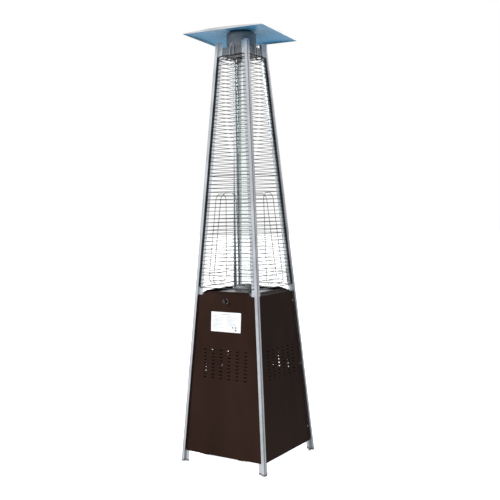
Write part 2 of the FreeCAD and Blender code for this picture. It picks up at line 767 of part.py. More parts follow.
def make_burner_ring():
    outer, skin, top = D.ring_radius, D.ring_sheet, D.ring_top
    low = D.deck_top + D.touch_gap
    body = revolved("burner_ring", [[
        (outer - skin, low), (outer, low), (outer, top), (D.ring_inner, top),
        (D.ring_inner, top - skin), (outer - skin, top - skin)]])
    slot = new_sketch(body, "XZ_Plane")
    add_outline(slot, rectangle(D.ring_slot_width / 2, D.ring_slot_low,
                                D.ring_slot_low + D.ring_slot_height))
    window = pocket(body, slot)
    ring = body.newObject("PartDesign::PolarPattern", "burner_ring_slots")
    ring.Originals = [window]
    ring.Axis = (slot, ["V_Axis"])
    ring.Angle = 360.0
    bind(ring, Occurrences=D.ring_slots)
    body.Tip = ring
    finish(body, "burner_ring")


def make_burner():
    """The burner head and its venturi tube, and the bracket that holds it under the deck."""
    outer, low, top = D.burner_radius, D.burner_low, D.burner_top
    neck, skin, crown = D.venturi_radius, D.venturi_sheet, D.burner_crown
    cone = low + D.burner_cone
    body = revolved("burner_head", [[
        (neck - skin, D.venturi_low), (neck, D.venturi_low), (neck, low), (outer, cone),
        (outer, top), (0, top), (0, top - crown), (outer - crown, top - crown),
        (outer - crown, cone + crown / 2), (neck - skin, low + crown / 2)]])
    finish(body, "burner_head")
    level = (D.deck_top - D.deck_sheet - D.sheet_gap - D.bracket_sheet).value
    bar = block("bracket_bar", D.bracket_length, D.bracket_width, D.bracket_sheet,
                at(0, 0, level))
    holes = [cylinder("bracket_hole", outer + D.touch_gap, THROUGH,
                      at(0, 0, level - THROUGH / 2))]
    for node, (x, y, radius, _) in IGNITION.items():
        holes.append(cylinder(node + "_hole", radius + D.touch_gap, THROUGH,
                              at(x, y, level - THROUGH / 2)))
    finish(cut_away("burner_bracket", bar, holes), "burner_bracket")


def make_supply_pipe():
    """Rigid pipe from the valve's outlet back to the foot of the venturi."""
    start = valve_place(VALVE_FACE - (D.valve_depth + D.pipe_gap).value).Base
    corner = V(0, start.y + D.pipe_run.value, start.z)
    low = (D.venturi_low - D.pipe_drop).value
    tip = (D.venturi_low + D.pipe_tip).value
    points = [start, corner, V(0, corner.y, low), V(0, 0, low), V(0, 0, tip)]
    pieces = wire_chain("pipe", D.pipe_radius, points)
    finish(joined("supply_pipe", pieces), "supply_pipe")


def make_ignition():
    """Pilot burner, thermocouple and spark electrode stand beside the burner head."""
    for node, (x, y, radius, height) in IGNITION.items():
        spot = at(x, y, D.ignition_low.value)
        stalk = cylinder(node + "_stalk", radius, height, spot)
        foot = cylinder(node + "_foot", radius + D.ignition_flange, D.ignition_foot, spot)
        finish(joined(node, [stalk, foot]), node)


def make_safety_parts():
    top = (D.deck_top - D.deck_sheet - D.sheet_gap).value
    switch = block("tilt_switch_box", D.switch_width, D.switch_depth, D.switch_height,
                   at(D.switch_x.value, D.switch_y.value, top - D.switch_height.value))
    finish(switch, "tilt_switch")
    piezo = cylinder("piezo_barrel", D.piezo_radius, D.piezo_length,
                     at(D.piezo_x.value, D.piezo_y.value, top - D.piezo_length.value))
    finish(piezo, "piezo_igniter")


def make_glass():
    outer, inner = D.tube_radius, D.tube_radius - D.tube_wall
    tube = revolved("glass_tube", [[
        (inner, D.tube_low), (outer, D.tube_low), (outer, D.tube_high),
        (inner, D.tube_high)]])
    finish(tube, "glass_tube")
    gap, deep, lip = D.fit_gap, D.seat_depth, inner - D.seat_inset
    wide = outer + D.seat_width
    floor = D.ring_top + D.touch_gap
    low = D.tube_low - D.touch_gap
    seat = revolved("lower_tube_seal", [[
        (lip, floor), (wide, floor), (wide, low + deep), (outer + gap, low + deep),
        (outer + gap, low), (lip, low)]])
    finish(seat, "lower_tube_seal")
    high = D.collar_plate - D.sheet_gap
    foot = high - D.upper_seal_height
    wide = outer + D.upper_seal_width
    upper = revolved("upper_tube_seal", [[
        (outer + gap, foot), (wide, foot), (wide, high), (outer + gap, high)]])
    finish(upper, "upper_tube_seal")


# ---- top end -------------------------------------------------------------------------------

def make_collar():
    """A square band between the posts with a plate that steadies the glass tube."""
    body = new_body("top_collar")
    skin, wall = D.post_sheet + D.inside_gap, D.collar_sheet
    plate = D.collar_plate
    tapered(body, D.collar_low, D.collar_top, skin, D.corner_cut)
    tapered(body, plate + wall, D.collar_top + wall, skin + wall, D.corner_cut,
            subtract=True)
    tapered(body, D.collar_low - wall, plate, skin + wall, D.corner_cut, subtract=True)
    tools = [cylinder("collar_hole", D.tube_radius + D.collar_hole_gap, THROUGH,
                      at(0, 0, plate.value - THROUGH / 2))]
    tall = D.collar_slot_high - D.collar_slot_low
    middle = up((D.collar_slot_low + D.collar_slot_high) / 2).value
    for face in FACES:
        for step in SLOT_STEPS:
            spot = face_placement(face, step * D.collar_slot_pitch.value, middle, -HOLE_REACH)
            tools.append(block("collar_slot", D.collar_slot_width, tall, 2 * HOLE_REACH, spot))
    tools += screw_holes("top_collar", COLLAR_SCREWS)
    finish(cut_away("top_collar", body, tools), "top_collar")


def make_cap():
    """A round cap over the end of the tube; the burnt gas leaves by slots in its neck."""
    outer, skin, top = D.cap_radius, D.cap_sheet, D.cap_shoulder
    low = D.collar_plate + D.collar_sheet + D.sheet_gap
    neck, bend = D.neck_radius, D.cap_bend
    body = revolved("flame_cap", [[
        (outer - skin, low), (outer, low), (outer, top - bend, bend), (outer - bend, top),
        (neck, top), (neck, D.neck_top), (neck - skin, D.neck_top), (neck - skin, top - skin),
        (outer - bend, top - skin, skin - bend), (outer - skin, top - bend)]])
    slot = new_sketch(body, "XZ_Plane")
    add_outline(slot, rectangle(D.flue_width / 2, D.flue_low, D.flue_low + D.flue_height))
    window = pocket(body, slot)
    ring = body.newObject("PartDesign::PolarPattern", "flame_cap_slots")
    ring.Originals = [window]
    ring.Axis = (slot, ["V_Axis"])
    ring.Angle = 360.0
    bind(ring, Occurrences=D.flue_slots)
    body.Tip = ring
    finish(body, "flame_cap")


def make_stud_carrier():
    """A bridge plate in the cap's neck that the reflector's studs are pressed into."""
    low = (D.bridge_top - D.bridge_sheet).value
    disc = cylinder("bridge_disc", D.neck_radius - D.cap_sheet - D.sheet_gap, D.bridge_sheet,
                    at(0, 0, low))
    vent = cylinder("bridge_vent", D.bridge_vent, THROUGH, at(0, 0, low - THROUGH / 2))
    holes = [cylinder("bridge_hole", D.stud_radius + D.press_gap, THROUGH, spot)
             for spot in stud_places(low - THROUGH / 2)]
    finish(cut_away("stud_bridge", disc, [vent] + holes), "stud_bridge")


def stud_places(level):
    radius = D.stud_circle.value
    turn = D.mirror_turn.value + 45
    return [at(radius * math.cos(math.radians(turn + 90 * k)),
               radius * math.sin(math.radians(turn + 90 * k)), level) for k in range(4)]


def make_reflector():
    """A shallow square pyramid with small down-turned lips, turned a little on its studs."""
    body = new_body("reflector")
    skin = D.mirror_sheet

    def shell(drop, inset, subtract):
        sketches = []
        for level, reach in ((D.mirror_edge, D.mirror_half), (D.mirror_crown, D.mirror_flat)):
            sketch = new_sketch(body, "XY_Plane", level - drop)
            add_outline(sketch, rectangle(reach - inset, inset - reach, reach - inset))
            sketches.append(sketch)
        kind = "SubtractiveLoft" if subtract else "AdditiveLoft"
        loft = body.newObject("PartDesign::" + kind, "reflector_loft")
        loft.Profile = sketches[0]
        loft.Sections = sketches[1:]
        loft.Ruled = True

    shell(-skin, 0, False)
    lips = new_sketch(body, "XY_Plane", D.mirror_edge - D.mirror_lip)
    reach = D.mirror_half
    add_outline(lips, rectangle(reach, -reach, reach))
    pad(body, lips, D.mirror_lip + skin)
    inside = new_sketch(body, "XY_Plane", D.mirror_edge - D.mirror_lip)
    inner = reach - skin
    add_outline(inside, rectangle(inner, -inner, inner))
    pocket(body, inside, D.mirror_lip, reverse=True)
    shell(0, skin, True)
    doc.recompute()
    turn = FreeCAD.Rotation(V(0, 0, 1), D.mirror_turn.value)
    body.Placement = FreeCAD.Placement(V(), turn)
    holes = [cylinder("mirror_hole", D.stud_radius + D.stud_hole_gap, THROUGH, spot)
             for spot in stud_places(D.mirror_crown.value - THROUGH / 2)]
    finish(cut_away("reflector", body, holes), "reflector")


def make_reflector_hardware():
    low = (D.bridge_top - D.bridge_sheet).value
    studs = []
    for number, spot in enumerate(stud_places(low)):
        studs.append(cylinder("stud%d" % number, D.stud_radius, D.stud_top - low, spot))
    finish(group("reflector_studs", studs), "reflector_studs")
    seat = (D.mirror_crown + D.mirror_sheet + D.touch_gap).value
    washers, nuts = [], []
    for number, spot in enumerate(stud_places(seat)):
        disc = cylinder("washer%d" % number, D.washer_radius, D.washer_sheet, spot)
        bore = cylinder("washer_bore%d" % number, D.stud_radius + D.washer_gap, THROUGH,
                        at(spot.Base.x, spot.Base.y, seat - THROUGH / 2))
        washers.append(cut_away("washer%d" % number, disc, [bore]))
    level = seat + (D.washer_sheet + D.touch_gap).value
    for number, spot in enumerate(stud_places(level)):
        hub = cylinder("nut_hub%d" % number, D.nut_radius, D.nut_height, spot)
        spin = FreeCAD.Rotation(V(0, 0, 1), 90 * number + D.nut_spin.value)
        wings = block("nut_wings%d" % number, 2 * D.wing_span, D.wing_sheet,
                      D.nut_height + D.wing_rise,
                      FreeCAD.Placement(spot.Base + V(0, 0, D.wing_foot.value), spin))
        bore = cylinder("nut_bore%d" % number, D.stud_radius + D.press_gap, 2 * THROUGH,
                        at(spot.Base.x, spot.Base.y, level - THROUGH))
        nuts.append(cut_away("nut%d" % number, joined("nut%d" % number, [hub, wings]), [bore]))
    finish(group("reflector_washers", washers), "reflector_washers")
    finish(group("reflector_wing_nuts", nuts), "reflector_wing_nuts")


# ---- guards --------------------------------------------------------------------------------

def guard_half(level):
    return ridge_inset(level, D.guard_inset.value)


def wire_chain(name, radius, points, closed=False):
    """Round wire along straight runs, with a ball at each corner."""
    ends = points[1:] + points[:1] if closed else points[1:]
    pieces = [rod_between("%s_run%d" % (name, number), radius, a, b)
              for number, (a, b) in enumerate(zip(points, ends))]
    corners = points if closed else points[1:-1]
    for number, spot in enumerate(corners):
        ball = doc.addObject("Part::Sphere", "%s_corner%d" % (name, number))
        bind(ball, Radius=radius)
        ball.Placement = at(spot.x, spot.y, spot.z)
        pieces.append(ball)
    return pieces


def guard_pieces(face):
    """Wire grid in the face's own frame: x along the face, y up the slope, z outwards."""
    depth = D.rail_radius.value + D.guard_gap.value
    low, high = D.guard_low.value, D.guard_high.value

    def spot(u, level):
        return V(u, up(level).value, depth)

    def level_wire(name, radius, level):
        reach = guard_half(level)
        return rod_between(name, radius, spot(-reach, level), spot(reach, level))

    frame = [spot(-guard_half(low), low), spot(guard_half(low), low),
             spot(guard_half(high), high), spot(-guard_half(high), high)]
    pieces = wire_chain(face + "_frame", D.rail_radius, frame, closed=True)
    level, number = low + D.wire_pitch.value, 0
    while level < high - D.wire_pitch.value / 2:
        bars = (D.bar_low.value, D.bar_middle.value, D.bar_high.value)
        if min(abs(level - bar) for bar in bars) > BAR_CLEARANCE:
            pieces.append(level_wire("%s_wire%d" % (face, number), D.wire_radius, level))
        level += D.wire_pitch.value
        number += 1
    for bar in (D.bar_low, D.bar_middle, D.bar_high):
        pieces.append(level_wire("%s_bar%d" % (face, bar.value), D.bar_radius, bar.value))
    inset, cut = D.loop_inset.value, D.loop_cut.value
    foot, head = D.loop_low.value, D.loop_high.value
    loop = [spot(ridge_inset(foot, inset) - cut, foot), spot(ridge_inset(foot, inset), foot + cut),
            spot(ridge_inset(head, inset), head - cut), spot(ridge_inset(head, inset) - cut, head)]
    loop += [V(-p.x, p.y, p.z) for p in reversed(loop)]
    pieces += wire_chain(face + "_loop", D.wire_radius, loop, closed=True)
    reach, crest = D.hook_half.value, D.hook_top.value
    hook = [spot(-reach, high), spot(-reach, crest - reach), spot(-reach / 2, crest),
            spot(reach / 2, crest), spot(reach, crest - reach), spot(reach, high)]
    pieces += wire_chain(face + "_hook", D.bar_radius, hook)
    return pieces


def make_guards():
    for face in FACES:
        guard = joined("guard_" + face, guard_pieces(face))
        finish(guard, "guard_" + face, face_placement(face))


# ---- build, check and write ----------------------------------------------------------------

def build():
    for node, (sx, sy) in CORNERS.items():
        make_post(node, sx, sy)
    make_glides()
    make_tray()
    for face in FACES[1:]:
        finish(make_panel(face + "_panel", face), face + "_panel", face_placement(face))
    make_door()
    make_pivot_rod()
    make_label()
    make_deck()
    make_magnets()
    make_valve()
    make_plug()
    make_stem_and_knob()
    make_inlet()
    make_burner_ring()
    make_burner()
    make_supply_pipe()
    make_ignition()
    make_safety_parts()
    make_glass()
    make_collar()
    make_cap()
    make_stud_carrier()
    make_reflector()
    make_reflector_hardware()
    make_guards()
    screws("panel_screws", SIDE_SCREWS, D.panel_sheet + D.touch_gap)
    screws("collar_screws", COLLAR_SCREWS, D.touch_gap)
    inner_screws("deck_screws", DECK_SCREWS, D.deck_sheet)
    inner_screws("tray_screws", TRAY_SCREWS, D.tray_sheet)
    doc.recompute()


def check_and_write():
    for item in doc.Objects:
        if "Invalid" in item.State or "Error" in item.State:
            raise RuntimeError("%s failed: %s" % (item.Name, item.State))
    os.makedirs("parts", exist_ok=True)
    for item in nodes:
        shape = item.Shape
        if shape.isNull() or not shape.isValid() or not shape.Solids:
            raise RuntimeError("%s has no valid shape" % item.Label)
        shape.exportStep("parts/%s.step" % item.Label)
        print("%-22s %3d solid(s) %12.0f mm3" % (item.Label, len(shape.Solids), shape.Volume))


build()
check_and_write()
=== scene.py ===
"""A square pyramid gas patio heater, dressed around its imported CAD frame.

Everything is in metres in the CAD frame: +Z up, the front door faces -Y.
Local face coordinates are u along a face, v up its slope and w outwards from the posts.
"""

import json
import math

import bmesh
import bpy
from mathutils import Matrix, Vector


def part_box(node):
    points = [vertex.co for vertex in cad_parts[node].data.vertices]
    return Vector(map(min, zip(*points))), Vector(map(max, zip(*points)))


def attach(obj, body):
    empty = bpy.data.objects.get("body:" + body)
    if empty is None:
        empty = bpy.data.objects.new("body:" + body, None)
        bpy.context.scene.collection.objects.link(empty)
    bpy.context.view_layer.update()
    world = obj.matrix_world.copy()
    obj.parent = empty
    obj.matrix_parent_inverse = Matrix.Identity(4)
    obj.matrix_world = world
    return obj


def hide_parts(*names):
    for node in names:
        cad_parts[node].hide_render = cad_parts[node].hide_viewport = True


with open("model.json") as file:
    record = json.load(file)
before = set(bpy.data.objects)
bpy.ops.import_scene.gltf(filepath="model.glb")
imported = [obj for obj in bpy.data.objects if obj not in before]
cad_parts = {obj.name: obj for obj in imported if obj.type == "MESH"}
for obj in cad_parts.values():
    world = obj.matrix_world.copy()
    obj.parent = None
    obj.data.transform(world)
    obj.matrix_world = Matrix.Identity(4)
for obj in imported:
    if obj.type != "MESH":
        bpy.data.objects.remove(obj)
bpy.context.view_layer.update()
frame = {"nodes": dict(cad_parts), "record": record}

MM = 0.001
FACES = ("front", "right", "rear", "left")

# ---- sizes: the tower's taper comes from a post, the rest are named lengths ------------------

POST_FLANGE = 30 * MM
POST_SHEET = 1.5 * MM
POST_BEND = 6 * MM
NOSE_HEIGHT = 12 * MM
NOSE_WIDTH = 19.5 * MM
post_low, post_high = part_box("post_front_right")
POST_BOTTOM, POST_TOP = post_low.z, post_high.z
SLOPE = (post_high.x - NOSE_HEIGHT - post_low.x - POST_FLANGE) / (POST_TOP - POST_BOTTOM)
BASE_HALF = post_high.x - NOSE_HEIGHT + SLOPE * POST_BOTTOM
TILT = math.atan(SLOPE)

PANEL_SHEET = 1.2 * MM
PANEL_BOTTOM = 56 * MM
PANEL_FOLD = 900 * MM
PANEL_EDGE = 8 * MM
PANEL_CORNER = 8 * MM
FOLD_FOOT = 156 * MM
FOLD_HALF = 126 * MM
FOLD_RELIEF = 2.4 * MM
FOLD_RISE = 18 * MM
FOLD_BEND = 3 * MM
VENT_LENGTH = 19 * MM
VENT_HEIGHT = 5 * MM
VENT_PITCH_U = 51.1 * MM
VENT_PITCH_V = 18.4 * MM
VENT_LOW = 460 * MM
VENT_COLUMNS = 6
VENT_ROWS = 9
SCREW_LEVELS = (138 * MM, 495 * MM, 847 * MM)
SCREW_INSET = 19 * MM
COLLAR_SCREW_LEVEL = 2197 * MM
SCREW_RADIUS = 4 * MM
SCREW_HEIGHT = 2.4 * MM

DOOR_AXIS = 54.5 * MM
DOOR_AXIS_DEPTH = 2.2 * MM
KNUCKLE_RADIUS = 2.8 * MM
KNUCKLE_BORE = 1.6 * MM
KNUCKLE_LENGTH = 36 * MM
KNUCKLE_PLACE = 110 * MM
WEB_HEIGHT = 4 * MM

KNOB_LEVEL = 868 * MM
KNOB_CLEARANCE = 1.3 * MM
KNOB_GAP = 5.5 * MM

LABEL_WIDTH = 188 * MM
LABEL_HEIGHT = 104 * MM
LABEL_MIDDLE = 759.5 * MM
LABEL_SHEET = 0.4 * MM

RAIL_RADIUS = 2.5 * MM
BAR_RADIUS = 2.0 * MM
WIRE_RADIUS = 1.5 * MM
GUARD_GAP = 0.3 * MM
GUARD_INSET = 10.5 * MM
GUARD_LOW = 935 * MM
GUARD_HIGH = 2162 * MM
WIRE_PITCH = 20.35 * MM
BARS = (1001 * MM, 1529 * MM, 2144 * MM)
LOOP_LOW = 947 * MM
LOOP_HIGH = 1436 * MM
LOOP_INSET = 100 * MM
LOOP_CUT = 24 * MM
HOOK_HALF = 11 * MM
HOOK_TOP = 2222 * MM


def half(level):
    """Half width of the tower at a height, measured over the flanges of the posts."""
    return BASE_HALF - SLOPE * level


def up(level):
    """A height measured along the slope of a face."""
    return level / math.cos(TILT)


def face_matrix(face, u=0.0, level=0.0, w=0.0):
    """Turns a face's own (u, v, w) into the shared frame, with the origin moved along the face."""
    turn = Matrix.Rotation(math.radians(90 * FACES.index(face)), 4, "Z")
    lean = Matrix.Rotation(math.pi / 2 - TILT, 4, "X")
    foot = Matrix.Translation((0, -BASE_HALF, 0))
    return turn @ foot @ lean @ Matrix.Translation((u, up(level), w))


# ---- materials -------------------------------------------------------------------------------

# the part of a noise's grey range that a roughness and a tint are spread over
NOISE_LOW, NOISE_HIGH = 0.3, 0.7
TINT_LOW, TINT_HIGH = 0.35, 0.65


class Shader:
    """A Principled material with a few nodes added round it."""

    def __init__(self, name, color, metallic=0.0, roughness=0.5, **sockets):
        self.material = bpy.data.materials.new(name)
        self.material.use_nodes = True
        self.tree = self.material.node_tree
        self.shader = self.tree.nodes["Principled BSDF"]
        self.set("Base Color", (*color, 1.0))
        self.set("Metallic", metallic)
        self.set("Roughness", roughness)
        for name_, value in sockets.items():
            self.set(name_.replace("_", " "), value)
        self.coords = self.node("ShaderNodeTexCoord")

    def set(self, socket, value):
        self.shader.inputs[socket].default_value = value

    def node(self, kind):
        return self.tree.nodes.new(kind)

    def link(self, source, target):
        self.tree.links.new(source, target)

    def noise(self, stretch=(1, 1, 1), scale=100.0, detail=4.0, roughness=0.55):
        """Noise in object space, stretched along the axes; returns its grey output."""
        place = self.node("ShaderNodeMapping")
        place.inputs["Scale"].default_value = stretch
        self.link(self.coords.outputs["Object"], place.inputs["Vector"])
        made = self.node("ShaderNodeTexNoise")
        made.inputs["Scale"].default_value = scale
        made.inputs["Detail"].default_value = detail
        made.inputs["Roughness"].default_value = roughness
        self.link(place.outputs["Vector"], made.inputs["Vector"])
        return made.outputs["Fac"]

    def spread(self, grey, low, high):
        """Maps a grey value near the middle to a range."""
        made = self.node("ShaderNodeMapRange")
        made.inputs["From Min"].default_value = NOISE_LOW
        made.inputs["From Max"].default_value = NOISE_HIGH
        made.inputs["To Min"].default_value = low
        made.inputs["To Max"].default_value = high
        self.link(grey, made.inputs["Value"])
        return made.outputs["Result"]

    def tint(self, grey, dark, light):
        ramp = self.node("ShaderNodeValToRGB")
        ramp.color_ramp.elements[0].position = TINT_LOW
        ramp.color_ramp.elements[1].position = TINT_HIGH
        ramp.color_ramp.elements[0].color = (*dark, 1.0)
        ramp.color_ramp.elements[1].color = (*light, 1.0)
        self.link(grey, ramp.inputs["Fac"])
        self.link(ramp.outputs["Color"], self.shader.inputs["Base Color"])

    def rough(self, grey, low, high):
        self.link(self.spread(grey, low, high), self.shader.inputs["Roughness"])

    def bump(self, grey, strength, distance):
        made = self.node("ShaderNodeBump")
        made.inputs["Strength"].default_value = strength
        made.inputs["Distance"].default_value = distance
        self.link(grey, made.inputs["Height"])
        self.link(made.outputs["Normal"], self.shader.inputs["Normal"])


def brushed(name, color, roughness, stretch, contrast=0.12, scale=260.0):
    """Brushed or drawn metal: fine streaks along the axis with the smallest stretch."""
    made = Shader(name, color, 1.0, roughness)
    streaks = made.noise(stretch, scale, 5.0, 0.6)
    clouds = made.noise((1, 1, 1), 9.0, 3.0, 0.5)
    dark = tuple(c * (1 - contrast) for c in color)
    light = tuple(min(1.0, c * (1 + contrast)) for c in color)
    made.tint(clouds, dark, light)
    made.rough(streaks, roughness * 0.75, roughness * 1.3)
    made.bump(streaks, 0.12, 0.0002)
    return made.material


def powder_coat(name, dark, light, roughness):
    """Satin powder coat: orange peel, a slow change of tone and a little dust in the gloss."""
    made = Shader(name, dark, 0.0, roughness)
    made.set("Specular IOR Level", 0.04)
    clouds = made.noise((1, 1, 0.4), 5.0, 3.0, 0.5)
    peel = made.noise((1, 1, 1), 900.0, 3.0, 0.55)
    haze = made.noise((1, 1, 0.25), 26.0, 5.0, 0.65)
    made.tint(clouds, dark, light)
    made.rough(haze, roughness * 0.85, roughness * 1.2)
    made.bump(peel, 0.18, 0.0002)
    return made.material


def moulded(name, dark, light, roughness, **sockets):
    """Moulded plastic or rubber with a fine grain."""
    made = Shader(name, dark, 0.0, roughness, **sockets)
    spots = made.noise((1, 1, 1), 30.0, 4.0, 0.6)
    fine = made.noise((1, 1, 1), 700.0, 2.0, 0.5)
    made.tint(spots, dark, light)
    made.rough(spots, roughness * 0.85, roughness * 1.2)
    made.bump(fine, 0.15, 0.0001)
    return made.material


def clear_glass(name):
    made = Shader(name, (0.95, 0.985, 0.975), 0.0, 0.02, Transmission_Weight=1.0, IOR=1.47)
    haze = made.noise((1, 1, 0.1), 14.0, 4.0, 0.6)
    made.tint(haze, (0.93, 0.97, 0.96), (0.98, 1.0, 0.995))
    made.rough(haze, 0.01, 0.05)
    return made.material


def blue_film(name):
    """Blue film laid on polished sheet: it shines softly and is slightly wavy."""
    made = Shader(name, (0.09, 0.31, 0.53), 0.0, 0.35, Specular_IOR_Level=0.15)
    waves = made.noise((1, 1, 1), 7.0, 2.0, 0.5)
    streaks = made.noise((1, 0.12, 1), 120.0, 3.0, 0.5)
    made.tint(waves, (0.075, 0.295, 0.51), (0.092, 0.325, 0.56))
    made.rough(streaks, 0.24, 0.34)
    made.bump(waves, 0.08, 0.002)
    return made.material


def heat_dark(name):
    """Dark metallic finish of the cap, a little uneven, as heat leaves it."""
    made = Shader(name, (0.22, 0.225, 0.235), 0.55, 0.32)
    rings = made.noise((0.15, 0.15, 1), 90.0, 4.0, 0.6)
    clouds = made.noise((1, 1, 1.6), 11.0, 4.0, 0.6)
    made.tint(clouds, (0.19, 0.193, 0.20), (0.255, 0.26, 0.265))
    made.rough(rings, 0.24, 0.38)
    made.bump(rings, 0.1, 0.0002)
    return made.material


def foil(name):
    made = Shader(name, (0.9, 0.93, 0.95), 0.0, 0.4, Coat_Weight=0.3, Coat_Roughness=0.2)
    clouds = made.noise((1, 1, 1), 40.0, 3.0, 0.5)
    made.tint(clouds, (0.86, 0.89, 0.91), (0.94, 0.96, 0.97))
    made.bump(clouds, 0.05, 0.0005)
    return made.material


ALONG_Z = (1, 1, 0.02)
ALONG_XY = (0.03, 0.03, 1)
STEEL = {
    "post_steel": brushed("post_steel", (0.62, 0.645, 0.68), 0.3, ALONG_Z),
    "panel_brown": powder_coat("panel_brown", (0.0235, 0.0112, 0.0078), (0.033, 0.0165, 0.012),
                               0.4),
    "glide_plastic": moulded("glide_plastic", (0.20, 0.20, 0.205), (0.26, 0.26, 0.265), 0.5),
    "tray_steel": brushed("tray_steel", (0.42, 0.43, 0.44), 0.42, (1, 0.05, 1), 0.2),
    "rod_steel": brushed("rod_steel", (0.5, 0.5, 0.52), 0.3, (0.02, 1, 1)),
    "label_foil": foil("label_foil"),
    "label_ink": moulded("label_ink", (0.28, 0.29, 0.31), (0.42, 0.43, 0.45), 0.5),
    "label_dark_ink": moulded("label_dark_ink", (0.05, 0.05, 0.055), (0.1, 0.1, 0.105), 0.5),
    "deck_steel": brushed("deck_steel", (0.56, 0.57, 0.59), 0.34, (0.03, 1, 1)),
    "magnet_case": moulded("magnet_case", (0.02, 0.02, 0.02), (0.04, 0.04, 0.04), 0.6),
    "valve_brass": brushed("valve_brass", (0.62, 0.43, 0.17), 0.32, (0.1, 1, 1), 0.2),
    "stem_steel": brushed("stem_steel", (0.52, 0.52, 0.54), 0.25, (1, 0.05, 1)),
    "knob_plastic": moulded("knob_plastic", (0.005, 0.005, 0.006), (0.009, 0.009, 0.01), 0.3,
                            Coat_Weight=0.15, Coat_Roughness=0.12),
    "burner_steel": brushed("burner_steel", (0.62, 0.62, 0.63), 0.36, ALONG_XY, 0.2),
    "pipe_metal": brushed("pipe_metal", (0.6, 0.61, 0.63), 0.33, (1, 0.05, 0.05)),
    "electrode_metal": brushed("electrode_metal", (0.4, 0.39, 0.38), 0.4, ALONG_Z, 0.25),
    "switch_plastic": moulded("switch_plastic", (0.02, 0.02, 0.021), (0.04, 0.04, 0.042), 0.5),
    "glass": clear_glass("glass"),
    "seal_silicone": moulded("seal_silicone", (0.38, 0.38, 0.385), (0.46, 0.46, 0.465), 0.6),
    "collar_steel": brushed("collar_steel", (0.24, 0.25, 0.265), 0.36, (0.03, 0.03, 1), 0.22),
    "cap_steel": heat_dark("cap_steel"),
    "mirror_film": blue_film("mirror_film"),
    "reflector_metal": brushed("reflector_metal", (0.68, 0.69, 0.7), 0.28, (0.02, 1, 1)),
    # Painted shade: wire_steel is far darker than real steel, so the bright guard wires read as
    # dark as they do in shade.
    "wire_steel": brushed("wire_steel", (0.07, 0.072, 0.075), 0.35, (1, 1, 1), 0.3, 60.0),
    "fastener_steel": brushed("fastener_steel", (0.55, 0.55, 0.56), 0.28, (1, 1, 1), 0.2),
}


# ---- mesh helpers ----------------------------------------------------------------------------

WELD = 1e-7

def keep(name, mesh, body, slot, replaced=(), matrix=None, material=None, crease=32.0):
    """Puts a mesh in the scene as a piece that rides a body and stands for CAD nodes."""
    if matrix is not None:
        mesh.transform(matrix)
    mesh.shade_smooth()
    mesh.set_sharp_from_angle(angle=math.radians(crease))
    mesh = modified(mesh, ("WEIGHTED_NORMAL", {"keep_sharp": True}))
    mesh.materials.clear()
    mesh.materials.append(STEEL[material or slot])
    piece = bpy.data.objects.new(name, mesh)
    bpy.context.scene.collection.objects.link(piece)
    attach(piece, body)
    if replaced:
        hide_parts(*replaced)
    return piece


def mesh_from(name, verts, faces):
    mesh = bpy.data.meshes.new(name)
    mesh.from_pydata([tuple(v) for v in verts], [], faces)
    mesh.validate()
    return mesh


def faced_out(mesh, weld=None):
    """The mesh with its faces turned outwards and, if asked, coinciding points merged."""
    work = bmesh.new()
    work.from_mesh(mesh)
    if weld:
        bmesh.ops.remove_doubles(work, verts=work.verts, dist=weld)
    bmesh.ops.recalc_face_normals(work, faces=work.faces)
    work.to_mesh(mesh)
    work.free()
    return mesh


def joined(name, parts):
    """One mesh from several (mesh, matrix) pairs."""
    whole = bmesh.new()
    for mesh, matrix in parts:
        moved = mesh.copy()
        if matrix is not None:
            moved.transform(matrix)
        whole.from_mesh(moved)
        bpy.data.meshes.remove(moved)
    mesh = bpy.data.meshes.new(name)
    whole.to_mesh(mesh)
    whole.free()
    return mesh


def modified(mesh, *modifiers):
    """The mesh with modifiers applied; each is (type, {setting: value})."""
    holder = bpy.data.objects.new("holder", mesh)
    bpy.context.scene.collection.objects.link(holder)
    for number, (kind, settings) in enumerate(modifiers):
        made = holder.modifiers.new("m%d" % number, kind)
        for key, value in settings.items():
            setattr(made, key, value)
    graph = bpy.context.evaluated_depsgraph_get()
    result = bpy.data.meshes.new_from_object(holder.evaluated_get(graph))
    bpy.data.objects.remove(holder)
    return result


def bevelled(mesh, width, segments=2, angle=40.0):
    return modified(mesh, ("BEVEL", {"width": width, "segments": segments,
                                     "limit_method": "ANGLE",
                                     "angle_limit": math.radians(angle)}))


def arc(cx, cy, radius, start, end, steps):
    """Points on a circular arc, angles in degrees, both ends included."""
    turn = math.radians(end - start) / steps
    first = math.radians(start)
    return [(cx + radius * math.cos(first + turn * k), cy + radius * math.sin(first + turn * k))
            for k in range(steps + 1)]


def lathe(name, profile, segments=96, closed=True):
    """Turns a profile of (radius, height) points about Z."""
    verts, faces = [], []
    count = len(profile)
    for k in range(segments):
        turn = 2 * math.pi * k / segments
        verts += [(r * math.cos(turn), r * math.sin(turn), z) for r, z in profile]
    last = count if closed else count - 1
    for k in range(segments):
        here, there = k * count, (k + 1) % segments * count
        for j in range(last):
            after = (j + 1) % count
            faces.append((here + j, there + j, there + after, here + after))
    return faced_out(mesh_from(name, verts, faces), WELD)


def prism(name, outline, low, high, shift=(0.0, 0.0)):
    """An upright prism; its top outline is shifted sideways, as a leaning post is."""
    count = len(outline)
    verts = [(x, y, low) for x, y in outline]
    verts += [(x + shift[0], y + shift[1], high) for x, y in outline]
    faces = [tuple(range(count))[::-1], tuple(range(count, 2 * count))]
    faces += [(k, (k + 1) % count, count + (k + 1) % count, count + k) for k in range(count)]
    return faced_out(mesh_from(name, verts, faces))


def curve_mesh(name, curve):
    """The mesh that a curve makes; the curve is used up."""
    holder = bpy.data.objects.new(name, curve)
    bpy.context.scene.collection.objects.link(holder)
    graph = bpy.context.evaluated_depsgraph_get()
    mesh = bpy.data.meshes.new_from_object(holder.evaluated_get(graph))
    bpy.data.objects.remove(holder)
    bpy.data.curves.remove(curve)
    return mesh


